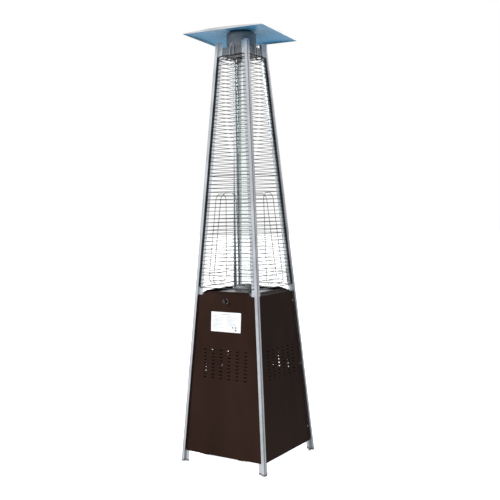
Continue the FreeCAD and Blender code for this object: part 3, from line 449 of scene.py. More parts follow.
def wires(name, runs, radius, sides):
    """Round wires: runs is a list of (points, closed)."""
    curve = bpy.data.curves.new(name, "CURVE")
    curve.dimensions = "3D"
    curve.bevel_depth = radius
    curve.bevel_resolution = sides
    curve.use_fill_caps = True
    for points, closed in runs:
        spline = curve.splines.new("POLY")
        spline.points.add(len(points) - 1)
        for point, place in zip(spline.points, points):
            point.co = (*place, 1.0)
        spline.use_cyclic_u = closed
    return curve_mesh(name, curve)


def eased(points, radius, closed, steps=5):
    """A run of points with its corners rounded."""
    spots = [Vector(p) for p in points]
    count = len(spots)
    result = []
    for k, spot in enumerate(spots):
        if not closed and k in (0, count - 1):
            result.append(spot)
            continue
        before, after = spots[k - 1] - spot, spots[(k + 1) % count] - spot
        reach = min(radius, before.length * 0.45, after.length * 0.45)
        start, end = spot + before.normalized() * reach, spot + after.normalized() * reach
        for j in range(steps + 1):
            part = j / steps
            result.append(start * (1 - part) ** 2 + spot * 2 * part * (1 - part)
                          + end * part ** 2)
    return result


def flat_plate(name, outline, holes, thickness, edge=0.0):
    """A flat sheet with holes, its back on w = 0."""
    curve = bpy.data.curves.new(name, "CURVE")
    curve.dimensions = "2D"
    curve.fill_mode = "BOTH"
    curve.extrude = thickness / 2 - edge
    curve.bevel_depth = edge
    curve.offset = -edge
    for ring in [outline] + holes:
        spline = curve.splines.new("POLY")
        spline.points.add(len(ring) - 1)
        for point, (x, y) in zip(spline.points, ring):
            point.co = (x, y, 0, 1)
        spline.use_cyclic_u = True
    mesh = curve_mesh(name, curve)
    mesh.transform(Matrix.Translation((0, 0, thickness / 2)))
    return mesh


# ---- posts -----------------------------------------------------------------------------------

def make_post(node, sx, sy):
    """Two flanges stepped out to a nose; every fold of the sheet is rounded."""
    far = half(POST_BOTTOM)
    end = far - POST_FLANGE
    step = far + NOSE_HEIGHT - NOSE_WIDTH
    tip = far + NOSE_HEIGHT
    middle = tip - POST_BEND
    sheet, lip, fold = POST_SHEET, POST_SHEET / 2, POST_SHEET
    side = arc(tip - fold, step + fold, fold, 0, -90, 4)
    side += arc(far + fold, step - fold, fold, 90, 180, 4)
    side += arc(far - lip, end, lip, 0, -180, 4)
    side += arc(far + fold, step - fold, fold + sheet, 180, 90, 4)
    side += [(tip - sheet, step + sheet)]
    outline = arc(middle, middle, POST_BEND, 90, 0, 8) + side
    outline += arc(middle, middle, POST_BEND - sheet, 0, 90, 8)
    outline += [(y, x) for x, y in reversed(side)]
    outline = [(sx * x, sy * y) for x, y in outline]
    lean = SLOPE * (POST_TOP - POST_BOTTOM)
    mesh = prism(node, outline, POST_BOTTOM, POST_TOP, (-sx * lean, -sy * lean))
    keep(node + "_sheet", mesh, "tower", "post_steel", (node,), crease=50)


# ---- cabinet ---------------------------------------------------------------------------------

def slot_ring(u, v):
    """A round-ended vent slot whose lower left corner would be at (u, v)."""
    r = VENT_HEIGHT / 2
    right = arc(u + VENT_LENGTH - r, v + r, r, -90, 90, 6)
    left = arc(u + r, v + r, r, 90, 270, 6)
    return right + left


def circle_ring(u, v, radius, steps=32):
    return arc(u, v, radius, 0, 360, steps)[:-1]


def fold_point(v, w, fold):
    """Bends the part of a flat sheet above the fold inwards by 45 degrees."""
    past = v - fold
    sweep = math.pi / 4
    bend = FOLD_BEND * sweep
    if past <= 0:
        return v, w
    if past < bend:
        turn = past / FOLD_BEND
        radius = FOLD_BEND + w
        return fold + radius * math.sin(turn), radius * math.cos(turn) - FOLD_BEND
    rest = past - bend
    radius = FOLD_BEND + w
    return (fold + radius * math.sin(sweep) + rest * math.cos(sweep),
            radius * math.cos(sweep) - FOLD_BEND - rest * math.sin(sweep))


def panel_half(level):
    """Half width of a panel, which fits between the noses of the posts."""
    return half(level) - PANEL_EDGE


def panel_mesh(name, door):
    low = up(PANEL_BOTTOM)
    bend_start = up(PANEL_FOLD) - FOLD_BEND * math.tan(math.pi / 8) - PANEL_SHEET / 2
    band = (FOLD_RISE - PANEL_SHEET) * math.sqrt(2)
    bend = FOLD_BEND * math.pi / 4
    crest = bend_start + bend + band
    shelf = up(PANEL_FOLD) - FOLD_RELIEF
    corner = PANEL_CORNER
    ease = 4 * MM
    tip = 1.5 * MM
    right = arc(panel_half(PANEL_BOTTOM + corner) - corner, low + corner, corner, -90, 0, 6)
    right += arc(panel_half(PANEL_FOLD) - tip, shelf - tip, tip, 0, 90, 4)
    right += [(FOLD_FOOT, shelf)]
    right += arc(FOLD_HALF, crest - ease, ease, 60, 90, 3)
    outline = right + [(-x, y) for x, y in reversed(right)]
    first_u = -(VENT_COLUMNS - 1) / 2 * VENT_PITCH_U - VENT_LENGTH / 2
    holes = [slot_ring(first_u + i * VENT_PITCH_U, up(VENT_LOW) + j * VENT_PITCH_V)
             for i in range(VENT_COLUMNS) for j in range(VENT_ROWS)]
    if door:
        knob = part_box("control_knob")
        radius = (knob[1].x - knob[0].x) / 2 + KNOB_CLEARANCE
        holes.append(circle_ring(0, up(KNOB_LEVEL), radius, 48))
    mesh = flat_plate(name, outline, holes, PANEL_SHEET, 0.3 * MM)
    work = bmesh.new()
    work.from_mesh(mesh)
    cuts = [bend_start + bend * k / 6 for k in range(7)]
    for cut in cuts:
        bmesh.ops.bisect_plane(work, geom=work.verts[:] + work.edges[:] + work.faces[:],
                               plane_co=(0, cut, 0), plane_no=(0, 1, 0))
    for vert in work.verts:
        vert.co.y, vert.co.z = fold_point(vert.co.y, vert.co.z, bend_start)
    work.to_mesh(mesh)
    work.free()
    return mesh


def make_panels():
    for face in FACES[1:]:
        node = face + "_panel"
        keep(node + "_skin", panel_mesh(node, False), "tower", "panel_brown", (node,),
             face_matrix(face), crease=25)
    parts = [(panel_mesh("front_door", True), None)]
    rim = arc(0, 0, KNUCKLE_RADIUS, 0, 360, 24)[:-1]
    bore = arc(0, 0, KNUCKLE_BORE, 0, 360, 24)[:-1]
    knuckle = flat_plate("knuckle", rim, [bore], KNUCKLE_LENGTH, 0.3 * MM)
    along = Matrix.Rotation(math.pi / 2, 4, "Y")
    low = up(DOOR_AXIS) + KNUCKLE_BORE
    web = [(-DOOR_AXIS_DEPTH, low), (0.2 * MM, low), (0.2 * MM, low + WEB_HEIGHT - KNUCKLE_BORE),
           (-DOOR_AXIS_DEPTH, low + WEB_HEIGHT - KNUCKLE_BORE)]
    ring = [(-w, v) for w, v in web]
    strip = flat_plate("web", ring, [], KNUCKLE_LENGTH - 2 * MM, 0.3 * MM)
    for side in (-1, 1):
        start = side * KNUCKLE_PLACE - KNUCKLE_LENGTH / 2
        parts.append((knuckle, Matrix.Translation((start, up(DOOR_AXIS), -DOOR_AXIS_DEPTH))
                      @ along))
        parts.append((strip, Matrix.Translation((start + 1 * MM, 0, 0)) @ along))
    keep("front_door_skin", joined("front_door", parts), "door", "panel_brown",
         ("front_door",), face_matrix("front"), crease=25)


def make_label():
    """A white foil label with generic bars in place of print."""
    low = up(LABEL_MIDDLE) - LABEL_HEIGHT / 2
    r = 2.5 * MM
    x, y = LABEL_WIDTH / 2 - r, LABEL_HEIGHT - r
    ring = arc(x, low + r, r, -90, 0, 5) + arc(x, low + y, r, 0, 90, 5)
    ring += arc(-x, low + y, r, 90, 180, 5) + arc(-x, low + r, r, 180, 270, 5)
    plate = flat_plate("label", ring, [], LABEL_SHEET)
    place = face_matrix("front", 0, 0, PANEL_SHEET)
    keep("rating_label_foil", plate, "door", "label_foil", ("rating_label",), place)

    def bars(name, boxes, ink):
        parts = []
        for left, bottom, width, height in boxes:
            ring = [(left, bottom), (left + width, bottom), (left + width, bottom + height),
                    (left, bottom + height)]
            parts.append((flat_plate(name, ring, [], 0.04 * MM), None))
        keep(name, joined(name, parts), "door", "label_foil", (),
             face_matrix("front", 0, 0, PANEL_SHEET + LABEL_SHEET - 0.01 * MM), ink)

    left = -LABEL_WIDTH / 2 + 13 * MM
    top = low + LABEL_HEIGHT
    lines = [(-30 * MM, top - 13 * MM, 54 * MM, 2.2 * MM)]
    shares = (0.62, 0.86, 0.55, 0.78, 0.9, 0.48, 0.83, 0.7, 0.58, 0.88, 0.4)
    for k, share in enumerate(shares):
        row = top - (22 + 6.6 * k) * MM
        lines.append((left, row, 74 * MM * share, 1.3 * MM))
        if k < 8:
            lines.append((8 * MM, row, 70 * MM * shares[-1 - k], 1.3 * MM))
    bars("label_print_bars", lines, "label_ink")
    marks = [(40 * MM, low + 22 * MM, 8 * MM, 7 * MM), (58 * MM, low + 22 * MM, 8 * MM, 7 * MM),
             (58 * MM, low + 8 * MM, 10 * MM, 8 * MM)]
    bars("label_print_marks", marks, "label_dark_ink")


# ---- screws ----------------------------------------------------------------------------------

def screw_mesh():
    """A pan head with a cross recess."""
    dome = [(0, SCREW_HEIGHT), (SCREW_RADIUS * 0.45, SCREW_HEIGHT * 0.98),
            (SCREW_RADIUS * 0.75, SCREW_HEIGHT * 0.86), (SCREW_RADIUS * 0.93, SCREW_HEIGHT * 0.6),
            (SCREW_RADIUS, SCREW_HEIGHT * 0.3), (SCREW_RADIUS, 0), (0, 0)]
    head = lathe("screw_head", dome, 24, closed=False)
    arm, width, deep = SCREW_RADIUS * 0.55, SCREW_RADIUS * 0.13, SCREW_HEIGHT * 0.5
    cutters = []
    for sx, sy in ((arm, width), (width, arm)):
        ring = [(-sx, -sy), (sx, -sy), (sx, sy), (-sx, sy)]
        cutters.append((prism("cut", ring, SCREW_HEIGHT - deep, SCREW_HEIGHT * 1.3), None))
    return carved(head, cutters)


def carved(mesh, cutters):
    """The mesh with each cutter subtracted in turn."""
    for cutter, matrix in cutters:
        if matrix is not None:
            cutter.transform(matrix)
        tool = bpy.data.objects.new("tool", cutter)
        bpy.context.scene.collection.objects.link(tool)
        mesh = modified(mesh, ("BOOLEAN", {"operation": "DIFFERENCE", "object": tool,
                                           "solver": "EXACT"}))
        bpy.data.objects.remove(tool)
    return mesh


def make_screws():
    head = screw_mesh()
    panel, collar = [], []
    for number, face in enumerate(FACES):
        for side in (-1, 1):
            for k, level in enumerate(SCREW_LEVELS):
                spin = Matrix.Rotation(0.7 * (k + number + side), 4, "Z")
                spot = face_matrix(face, side * (half(level) - SCREW_INSET), level, PANEL_SHEET)
                if face != "front":
                    panel.append((head, spot @ spin))
            level = COLLAR_SCREW_LEVEL
            spot = face_matrix(face, side * (half(level) - SCREW_INSET), level, 0)
            collar.append((head, spot @ Matrix.Rotation(number + 0.4 * side, 4, "Z")))
    keep("panel_screw_heads", joined("panel_screws", panel), "tower", "fastener_steel",
         ("panel_screws",))
    keep("collar_screw_heads", joined("collar_screws", collar), "tower", "fastener_steel",
         ("collar_screws",))


# ---- knob ------------------------------------------------------------------------------------

def make_knob():
    low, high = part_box("control_knob")
    radius = (high.x - low.x) / 2
    depth = 19 * MM
    side = [(0, 0), (radius - 1.2 * MM, 0)] + arc(radius - 1 * MM, 1 * MM, 1 * MM, -90, 0, 4)
    front = arc(radius - 3.2 * MM, depth - 2.5 * MM, 2.4 * MM, 4, 90, 6)
    dish = [(radius - 5.5 * MM, depth - 0.25 * MM), (radius * 0.3, depth - 0.9 * MM),
            (0, depth - 1.0 * MM)]
    knob = lathe("knob", side + front + dish, 72, closed=False)
    flutes = []
    for k in range(18):
        turn = Matrix.Rotation(2 * math.pi * k / 18, 4, "Z")
        groove = lathe("flute", [(0, 3 * MM), (1.1 * MM, 3 * MM), (1.1 * MM, depth + 2 * MM),
                                 (0, depth + 2 * MM)], 12, closed=False)
        flutes.append((groove, turn @ Matrix.Translation((radius + 0.35 * MM, 0, 0))))
    knob = carved(knob, flutes)
    place = face_matrix("front", 0, KNOB_LEVEL, PANEL_SHEET + KNOB_GAP)
    keep("control_knob_grip", knob, "knob", "knob_plastic", ("control_knob",), place)
    pointer = flat_plate("pointer", [(-0.5 * MM, 3 * MM), (0.5 * MM, 3 * MM),
                                     (0.5 * MM, 8.3 * MM), (-0.5 * MM, 8.3 * MM)], [], 0.3 * MM)
    keep("knob_pointer", pointer, "knob", "knob_plastic", (),
         place @ Matrix.Translation((0, 0, depth - 0.75 * MM)), "label_foil")


# ---- burner, glass and seals -----------------------------------------------------------------

def make_burner_ring():
    """The slotted ring on the deck."""
    low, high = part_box("burner_ring")
    radius, sheet = high.x, 1.5 * MM
    slots, window, slot_low, slot_high = 11, 27.5 * MM, 911 * MM, 922 * MM
    per_slot = 16
    columns = slots * per_slot
    open_columns = round(window / (2 * math.pi * radius) * columns)
    levels = [low.z, low.z + 2 * MM, slot_low, slot_high, high.z - 1.5 * MM]
    rings = [(radius, level) for level in levels]
    rings += arc(radius - 1.5 * MM, high.z - 1.5 * MM, 1.5 * MM, 20, 90, 4)
    rings += [(45 * MM, high.z)]
    verts, faces = [], []
    for k in range(columns):
        turn = 2 * math.pi * (k + 0.5) / columns
        verts += [(r * math.sin(turn), -r * math.cos(turn), z) for r, z in rings]
    count = len(rings)
    for k in range(columns):
        open_here = (k + open_columns // 2) % per_slot < open_columns
        here, there = k * count, (k + 1) % columns * count
        for j in range(count - 1):
            if open_here and rings[j][1] == slot_low:
                continue
            faces.append((here + j, there + j, there + j + 1, here + j + 1))
    mesh = modified(mesh_from("burner_ring", verts, faces),
                    ("SOLIDIFY", {"thickness": sheet, "offset": -1}))
    keep("burner_ring_shell", bevelled(mesh, 0.25 * MM, 2, 60), "tower", "burner_steel",
         ("burner_ring",))


def make_burner_head():
    """A flame cup; its port holes are not cut but painted shade: small black discs on the crown.
    """
    low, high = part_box("burner_head")
    radius, base, top = high.x, 880 * MM, high.z
    neck = 9 * MM
    profile = [(neck - 1.5 * MM, low.z), (neck, low.z), (neck, base)]
    profile += arc(radius - 3 * MM, base + 14 * MM, 3 * MM, -60, 0, 4)
    profile += arc(radius - 2 * MM, top - 2 * MM, 2 * MM, 0, 90, 5)
    profile += [(radius * 0.7, top), (radius * 0.35, top - 0.1 * MM), (0, top)]
    cup = lathe("burner_head", profile, 72, closed=False)
    keep("burner_head_cup", cup, "tower", "burner_steel", ("burner_head",))
    # Painted shade: three rings of small black discs on the crown stand where the dark port holes
    # would be.
    port_shade_discs = []
    port_shade_disc = lathe("port_shade_disc", [(0, 0), (1.2 * MM, 0), (1.2 * MM, 0.4 * MM), (0, 0.4 * MM)], 12,
                 closed=False)
    for ring, count in ((6 * MM, 8), (13 * MM, 16), (20 * MM, 24)):
        for k in range(count):
            turn = 2 * math.pi * k / count
            port_shade_discs.append((port_shade_disc, Matrix.Translation((ring * math.cos(turn),
                                                    ring * math.sin(turn), top - 0.3 * MM))))
    keep("burner_port_shade_discs", joined("burner_port_shade_discs", port_shade_discs), "tower", "burner_steel", (),
         None, "knob_plastic")


def make_glass():
    low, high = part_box("glass_tube")
    outer, wall = high.x, 2.8 * MM
    centre = outer - wall / 2
    profile = arc(centre, low.z + wall / 2, wall / 2, 180, 360, 8)
    profile += arc(centre, high.z - wall / 2, wall / 2, 0, 180, 8)
    keep("glass_tube_clear", lathe("glass_tube", profile, 128), "tower", "glass",
         ("glass_tube",), crease=80)
    for node in ("lower_tube_seal", "upper_tube_seal"):
        low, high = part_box(node)
        r = 1.2 * MM
        inner = outer + 0.15 * MM
        wide = high.x
        ring = arc(wide - r, low.z + r, r, -90, 0, 4) + arc(wide - r, high.z - r, r, 0, 90, 4)
        ring += arc(inner + r, high.z - r, r, 90, 180, 4)
        if node == "lower_tube_seal":
            ring += [(inner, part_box("glass_tube")[0].z - 0.05 * MM),
                     (outer - 4.8 * MM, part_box("glass_tube")[0].z - 0.05 * MM),
                     (outer - 4.8 * MM, low.z)]
        else:
            ring += arc(inner + r, low.z + r, r, 180, 270, 4)
        keep(node + "_ring", lathe(node, ring, 96), "tower", "seal_silicone", (node,))


# ---- top end ---------------------------------------------------------------------------------

def make_cap():
    """The round cap over the glass tube: rolled foot, bead, rounded shoulder and neck."""
    low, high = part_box("flame_cap")
    radius, sheet = high.x, 1.5 * MM
    shoulder, bend, neck = 2290 * MM, 14 * MM, 52 * MM
    bead = high.z - 34 * MM
    outside = arc(radius - 1.6 * MM, low.z + 1.6 * MM, 1.6 * MM, -90, 0, 4)
    outside += [(radius, bead - 3 * MM), (radius - 0.9 * MM, bead - 1.2 * MM),
                (radius - 0.9 * MM, bead + 1.2 * MM), (radius, bead + 3 * MM)]
    outside += arc(radius - bend, shoulder - bend, bend, 0, 90, 12)
    outside += [(neck + 5 * MM, shoulder)]
    outside += [(neck + 5 * MM + 2.0 * MM * math.cos(math.radians(a)) - 3 * MM,
                 shoulder + 2 * MM - 2 * MM * math.sin(math.radians(a)))
                for a in (80, 110, 140, 170)]
    outside += [(neck, high.z - 0.6 * MM), (neck - 0.6 * MM, high.z)]
    inside = [(neck - sheet, high.z), (neck - sheet, shoulder - sheet)]
    inside += arc(radius - bend, shoulder - bend, bend - sheet, 90, 0, 10)
    inside += [(radius - sheet, low.z + 0.4 * MM), (radius - sheet, low.z)]
    shell = lathe("flame_cap", outside + inside, 144)
    wide, deep = 7.5 * MM, 4 * MM
    ring = [(-wide, neck - deep), (wide, neck - deep), (wide, neck + deep), (-wide, neck + deep)]
    flues = [(prism("flue", ring, shoulder + 2 * MM, shoulder + 6.5 * MM),
              Matrix.Rotation(math.radians(30 * k + 15), 4, "Z")) for k in range(12)]
    keep("flame_cap_shell", carved(shell, [(joined("flues", flues), None)]), "tower",
         "cap_steel", ("flame_cap",), crease=28)


MIRROR_HALF = 229 * MM
MIRROR_TURN = 7.3
MIRROR_FLAT = 56 * MM
MIRROR_SHEET = 1.0 * MM
MIRROR_LIP = 9 * MM
MIRROR_TIP = 1.5 * MM
MIRROR_BOW = 10 * MM
MIRROR_EDGE = 2277 * MM
MIRROR_CROWN = 2298.2 * MM
FILM_SHEET = 0.1 * MM
FILM_INSET = 1.3 * MM
FILM_DROP = 0.15 * MM
STUD_CIRCLE = 36 * MM


def reflector_level(x, y):
    """Height of the underside: creased to the corners, crowned, with bowed sides."""
    reach = max(abs(x), abs(y))
    along = min(abs(x), abs(y)) / max(reach, MM)
    low = MIRROR_EDGE - MIRROR_LIP + MIRROR_TIP + MIRROR_BOW * (1 - along ** 2)
    part = max(0.0, min(1.0, (MIRROR_HALF - reach) / (MIRROR_HALF - MIRROR_FLAT)))
    return low + (MIRROR_CROWN - low) * part


def make_reflector():
    """The square reflector, its bowed lips and the blue film on its underside."""
    steps = 48
    spots = [MIRROR_HALF * (2 * k / steps - 1) for k in range(steps + 1)]

    def skin(name, drop, foot, inset):
        """The crowned sheet; foot is the level its rim is turned down to, if it has one."""
        verts, faces = [], []
        scale = (MIRROR_HALF - inset) / MIRROR_HALF
        for y in spots:
            for x in spots:
                verts.append((x * scale, y * scale, reflector_level(x, y) - drop))
        row = steps + 1
        for j in range(steps):
            for i in range(steps):
                a = j * row + i
                faces.append((a, a + 1, a + row + 1, a + row))
        edge = (list(range(row)) + [j * row + steps for j in range(1, row)]
                + [steps * row + i for i in range(steps - 1, -1, -1)]
                + [j * row for j in range(steps - 1, 0, -1)])
        start = len(verts)
        for n in range(len(edge) if foot else 0):
            m = (n + 1) % len(edge)
            verts.append((*verts[edge[n]][:2], foot))
            faces.append((edge[n], start + n, start + m, edge[m]))
        return faced_out(mesh_from(name, verts, faces))

    turn = Matrix.Rotation(math.radians(MIRROR_TURN), 4, "Z")
    sheet = modified(skin("reflector", -MIRROR_SHEET, MIRROR_EDGE - MIRROR_LIP, 0),
                     ("SOLIDIFY", {"thickness": MIRROR_SHEET, "offset": -1}))
    keep("reflector_sheet", sheet, "tower", "mirror_film", ("reflector",), turn,
         "reflector_metal", crease=20)
    film = modified(skin("film", FILM_DROP, 0, FILM_INSET),
                    ("SOLIDIFY", {"thickness": FILM_SHEET, "offset": -1}))
    keep("reflector_film", film, "tower", "mirror_film", (), turn, "mirror_film", crease=8)


def stud_spots():
    turn = math.radians(MIRROR_TURN + 45)
    return [(STUD_CIRCLE * math.cos(turn + math.pi / 2 * k),
             STUD_CIRCLE * math.sin(turn + math.pi / 2 * k)) for k in range(4)]


def make_reflector_hardware():
    low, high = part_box("reflector_studs")
    r = 3 * MM
    thread = [(0, low.z), (r, low.z)]
    level = low.z + 7 * MM
    while level < high.z - 1.2 * MM:
        thread += [(r, level), (r - 0.35 * MM, level + 0.5 * MM)]
        level += 1.0 * MM
    thread += [(r - 0.8 * MM, high.z), (0, high.z)]
    stud = lathe("stud", thread, 24, closed=False)
    studs = [(stud, Matrix.Translation((x, y, 0))) for x, y in stud_spots()]
    keep("reflector_stud_threads", joined("studs", studs), "tower", "fastener_steel",
         ("reflector_studs",))
    low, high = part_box("reflector_washers")
    ring = [(3.3 * MM, low.z), (8.2 * MM, low.z), (8.5 * MM, low.z + 0.3 * MM),
            (8.5 * MM, high.z - 0.3 * MM), (8.2 * MM, high.z), (3.3 * MM, high.z)]
    washer = lathe("washer", ring, 48)
    keep("reflector_washer_discs",
         joined("washers", [(washer, Matrix.Translation((x, y, 0))) for x, y in stud_spots()]),
         "tower", "fastener_steel", ("reflector_washers",))
    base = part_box("reflector_wing_nuts")[0].z
    hub = lathe("hub", [(3.02 * MM, base), (5.5 * MM, base), (5.5 * MM, base + 1.2 * MM),
                        (4.3 * MM, base + 6 * MM), (3.02 * MM, base + 6 * MM)], 36)
    outline = [(3.6 * MM, 0.8 * MM), (8 * MM, 2.2 * MM)]
    outline += arc(10.2 * MM, 5.2 * MM, 2.6 * MM, -70, 110, 8) + [(6.4 * MM, 6.2 * MM),
                                                                   (3.8 * MM, 4.6 * MM)]
    wing = flat_plate("wing", outline, [], 2.0 * MM, 0.5 * MM)
    upright = Matrix.Rotation(math.pi / 2, 4, "X") @ Matrix.Translation((0, 0, -1 * MM))
    nuts = []
    for k, (x, y) in enumerate(stud_spots()):
        place = Matrix.Translation((x, y, 0)) @ Matrix.Rotation(math.radians(90 * k + 20), 4, "Z")
        nuts.append((hub, place))
        for side in (0, math.pi):
            nuts.append((wing, place @ Matrix.Translation((0, 0, base + 0.3 * MM))
                         @ Matrix.Rotation(side, 4, "Z") @ upright))
    keep("reflector_wing_nut_set", joined("wing_nuts", nuts), "tower", "fastener_steel",
         ("reflector_wing_nuts",))


# ---- guards ----------------------------------------------------------------------------------

def make_guard(face):
    """Wire guard: rounded frame, level wires, three heavier bars, a loop and a hook."""
    depth = RAIL_RADIUS + GUARD_GAP

    def spot(u, level, w=depth):
        return (u, up(level), w)

    def reach(level):
        return half(level) - GUARD_INSET

    frame_run = [spot(-reach(GUARD_LOW), GUARD_LOW), spot(reach(GUARD_LOW), GUARD_LOW),
                 spot(reach(GUARD_HIGH), GUARD_HIGH), spot(-reach(GUARD_HIGH), GUARD_HIGH)]
    rails = wires("rails", [(eased(frame_run, 14 * MM, True), True)], RAIL_RADIUS, 4)
    level, runs = GUARD_LOW + WIRE_PITCH, []
    while level < GUARD_HIGH - WIRE_PITCH / 2:
        if min(abs(level - bar) for bar in BARS) > 6 * MM:
            runs.append(([spot(-reach(level), level), spot(reach(level), level)], False))
        level += WIRE_PITCH
    fine = wires("wires", runs, WIRE_RADIUS, 3)
    thick = wires("bars", [([spot(-reach(bar), bar), spot(reach(bar), bar)], False)
                           for bar in BARS], BAR_RADIUS, 3)
    low, high = half(LOOP_LOW) - LOOP_INSET, half(LOOP_HIGH) - LOOP_INSET
    side = [spot(low - LOOP_CUT, LOOP_LOW), spot(low, LOOP_LOW + LOOP_CUT),
            spot(high, LOOP_HIGH - LOOP_CUT), spot(high - LOOP_CUT, LOOP_HIGH)]
    loop = side + [(-u, v, w) for u, v, w in reversed(side)]
    loop_mesh = wires("loop", [(eased(loop, 7 * MM, True), True)], WIRE_RADIUS, 3)
    hook = [spot(-HOOK_HALF, GUARD_HIGH), spot(-HOOK_HALF, HOOK_TOP - HOOK_HALF),
            spot(-HOOK_HALF / 2, HOOK_TOP), spot(HOOK_HALF / 2, HOOK_TOP),
            spot(HOOK_HALF, HOOK_TOP - HOOK_HALF), spot(HOOK_HALF, GUARD_HIGH)]
    hook_mesh = wires("hook", [(eased(hook, 6 * MM, False), False)], BAR_RADIUS, 4)
    parts = [(mesh, None) for mesh in (rails, fine, thick, loop_mesh)]
    # The guard wires take the darkened wire_steel, which is painted shade; the hook of the same
    # wire keeps the bright metal.
    keep("guard_%s_wires" % face, joined("guard", parts), "tower", "wire_steel",
         ("guard_" + face,), face_matrix(face), crease=60)
    keep("guard_%s_hook" % face, hook_mesh, "tower", "wire_steel", (), face_matrix(face),
         "reflector_metal", crease=60)


# ---- CAD nodes that stay ---------------------------------------------------------------------

def dress_cad_nodes():
    slots = {part["node"]: part["material_slot"] for part in frame["record"]["subparts"]}
    for node, item in frame["nodes"].items():
        material = STEEL[slots[node]]
        if not item.data.materials:
            item.data.materials.append(material)
        for place in item.material_slots:
            place.material = material


# ---- stage, lights and camera ----------------------------------------------------------------

CAMERA_AZIMUTH = 33.10
CAMERA_DISTANCE = 4.238
CAMERA_HEIGHT = 1.344
CAMERA_HEADING = 32.75
CAMERA_PITCH = -2.92
CAMERA_ROLL = -1.066
CAMERA_LENS = 56.2

FLOOR_RADIUS = 38.0
BACKDROP_RADIUS = 38.5
BACKDROP_HEIGHT = 30.0
FLOOR_GLOW = 0.8
# soft boxes of the studio: azimuth from -Y towards +X, elevation, inner and outer angle, glow
SOFT_BOXES = ((-33, 12, 16, 50, 0.9), (-86, 55, 10, 35, 1.6), (-100, 15, 10, 40, 0.5),
              (147, 5, 16, 45, 0.5), (33, 12, 12, 35, 0.9), (177, 34, 8, 28, 5.0),
              (-147, 8, 10, 40, 0.8), (0, -90, 40, 78, 1.1))
ROOM_GLOW = 0.06
KEY_POWER = 150
RIM_POWER = 40


def make_camera():
    place = math.radians(CAMERA_AZIMUTH)
    heading, pitch = math.radians(CAMERA_HEADING), math.radians(CAMERA_PITCH)
    roll = math.radians(CAMERA_ROLL)
    forward = Vector((-math.sin(heading) * math.cos(pitch), math.cos(heading) * math.cos(pitch),
                      math.sin(pitch)))
    level_right = Vector((math.cos(heading), math.sin(heading), 0))
    level_up = level_right.cross(forward)
    right = level_right * math.cos(roll) + level_up * math.sin(roll)
    upward = level_up * math.cos(roll) - level_right * math.sin(roll)
    data = bpy.data.cameras.new("camera")
    data.lens = CAMERA_LENS
    data.sensor_width = 36
    data.clip_end = 200
    camera = bpy.data.objects.new("camera", data)
    bpy.context.scene.collection.objects.link(camera)
    turn = Matrix((right, upward, -forward)).transposed().to_4x4()
    spot = Vector((math.sin(place) * CAMERA_DISTANCE, -math.cos(place) * CAMERA_DISTANCE,
                   CAMERA_HEIGHT))
    camera.matrix_world = Matrix.Translation(spot) @ turn
    bpy.context.scene.camera = camera


def area_light(name, spot, target, size, power):
    data = bpy.data.lights.new(name, "AREA")
    data.shape = "RECTANGLE"
    data.size, data.size_y = size
    data.energy = power
    light = bpy.data.objects.new(name, data)
    bpy.context.scene.collection.objects.link(light)
    light.visible_glossy = False
    light.location = spot
    light.rotation_euler = (Vector(target) - Vector(spot)).to_track_quat("-Z", "Y").to_euler()


def make_stage():
    """A pale floor and a white backdrop; only the camera sees them, lamps light the rest."""
    ground = prism("floor", circle_ring(0, 0, FLOOR_RADIUS, 96), -0.02, 0.0)
    paper = Shader("floor_paper", (0.9, 0.9, 0.9), 0.0, 0.9)
    clouds = paper.noise((1, 1, 1), 0.6, 3.0, 0.5)
    paper.tint(clouds, (0.89, 0.89, 0.89), (0.91, 0.91, 0.91))
    paper.set("Emission Color", (1, 1, 1, 1))
    paper.set("Emission Strength", FLOOR_GLOW)
    ground.materials.append(paper.material)
    section = [(BACKDROP_RADIUS, -1.0), (BACKDROP_RADIUS, BACKDROP_HEIGHT),
               (0.0, BACKDROP_HEIGHT)]
    walls = lathe("backdrop", section, 64, closed=False)
    white = Shader("backdrop_paper", (0, 0, 0), 0.0, 1.0)
    white.set("Specular IOR Level", 0.0)
    white.set("Emission Color", (1, 1, 1, 1))
    white.set("Emission Strength", 1.0)
    walls.materials.append(white.material)
    for name, mesh in (("floor", ground), ("backdrop", walls)):
        item = bpy.data.objects.new(name, mesh)
        bpy.context.scene.collection.objects.link(item)
        item.visible_diffuse = False
        item.visible_glossy = False
        item.visible_shadow = False


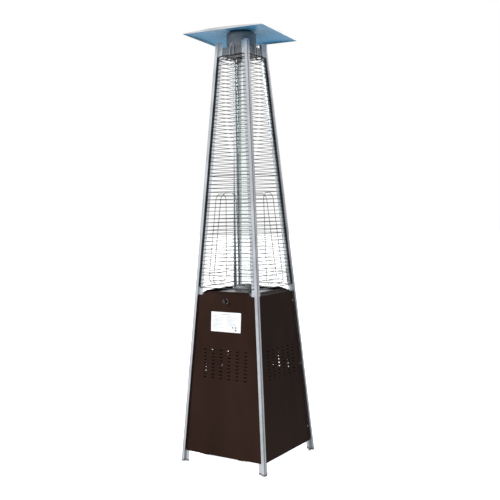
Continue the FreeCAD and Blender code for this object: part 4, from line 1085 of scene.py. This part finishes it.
def make_world():
    """A dim room with soft boxes; metal mirrors them, so each face of the tower differs."""
    world = bpy.data.worlds.new("studio")
    bpy.context.scene.world = world
    world.use_nodes = True
    tree = world.node_tree
    backdrop = tree.nodes["Background"]
    coords = tree.nodes.new("ShaderNodeTexCoord")
    total = None
    for azimuth, elevation, inner, outer, glow in SOFT_BOXES:
        turn, rise = math.radians(azimuth), math.radians(elevation)
        aim = (math.sin(turn) * math.cos(rise), -math.cos(turn) * math.cos(rise),
               math.sin(rise))
        dot = tree.nodes.new("ShaderNodeVectorMath")
        dot.operation = "DOT_PRODUCT"
        dot.inputs[1].default_value = aim
        tree.links.new(coords.outputs["Generated"], dot.inputs[0])
        lobe = tree.nodes.new("ShaderNodeMapRange")
        lobe.interpolation_type = "SMOOTHSTEP"
        lobe.inputs["From Min"].default_value = math.cos(math.radians(outer))
        lobe.inputs["From Max"].default_value = math.cos(math.radians(inner))
        lobe.inputs["To Min"].default_value = 0.0
        lobe.inputs["To Max"].default_value = glow
        tree.links.new(dot.outputs["Value"], lobe.inputs["Value"])
        add = tree.nodes.new("ShaderNodeMath")
        add.operation = "ADD"
        if total is None:
            add.inputs[1].default_value = ROOM_GLOW
        else:
            tree.links.new(total, add.inputs[1])
        tree.links.new(lobe.outputs["Result"], add.inputs[0])
        total = add.outputs["Value"]
    backdrop.inputs["Color"].default_value = (0.98, 0.99, 1.0, 1)
    tree.links.new(total, backdrop.inputs["Strength"])


def make_lights():
    make_world()
    area_light("key", (-2.6, -3.6, 3.0), (0, 0, 1.0), (1.4, 2.2), KEY_POWER)
    area_light("rim", (0.6, 4.2, 3.6), (0, 0, 1.2), (1.2, 1.2), RIM_POWER)
    bpy.context.scene.view_settings.view_transform = "Standard"


# ---- build -----------------------------------------------------------------------------------

dress_cad_nodes()
for post_name, post_x, post_y in (("post_front_left", -1, -1), ("post_front_right", 1, -1),
                                  ("post_rear_right", 1, 1), ("post_rear_left", -1, 1)):
    make_post(post_name, post_x, post_y)
make_panels()
make_label()
make_screws()
make_knob()
make_burner_ring()
make_burner_head()
make_glass()
make_cap()
make_reflector()
make_reflector_hardware()
for side_name in FACES:
    make_guard(side_name)
make_camera()
make_stage()
make_lights()
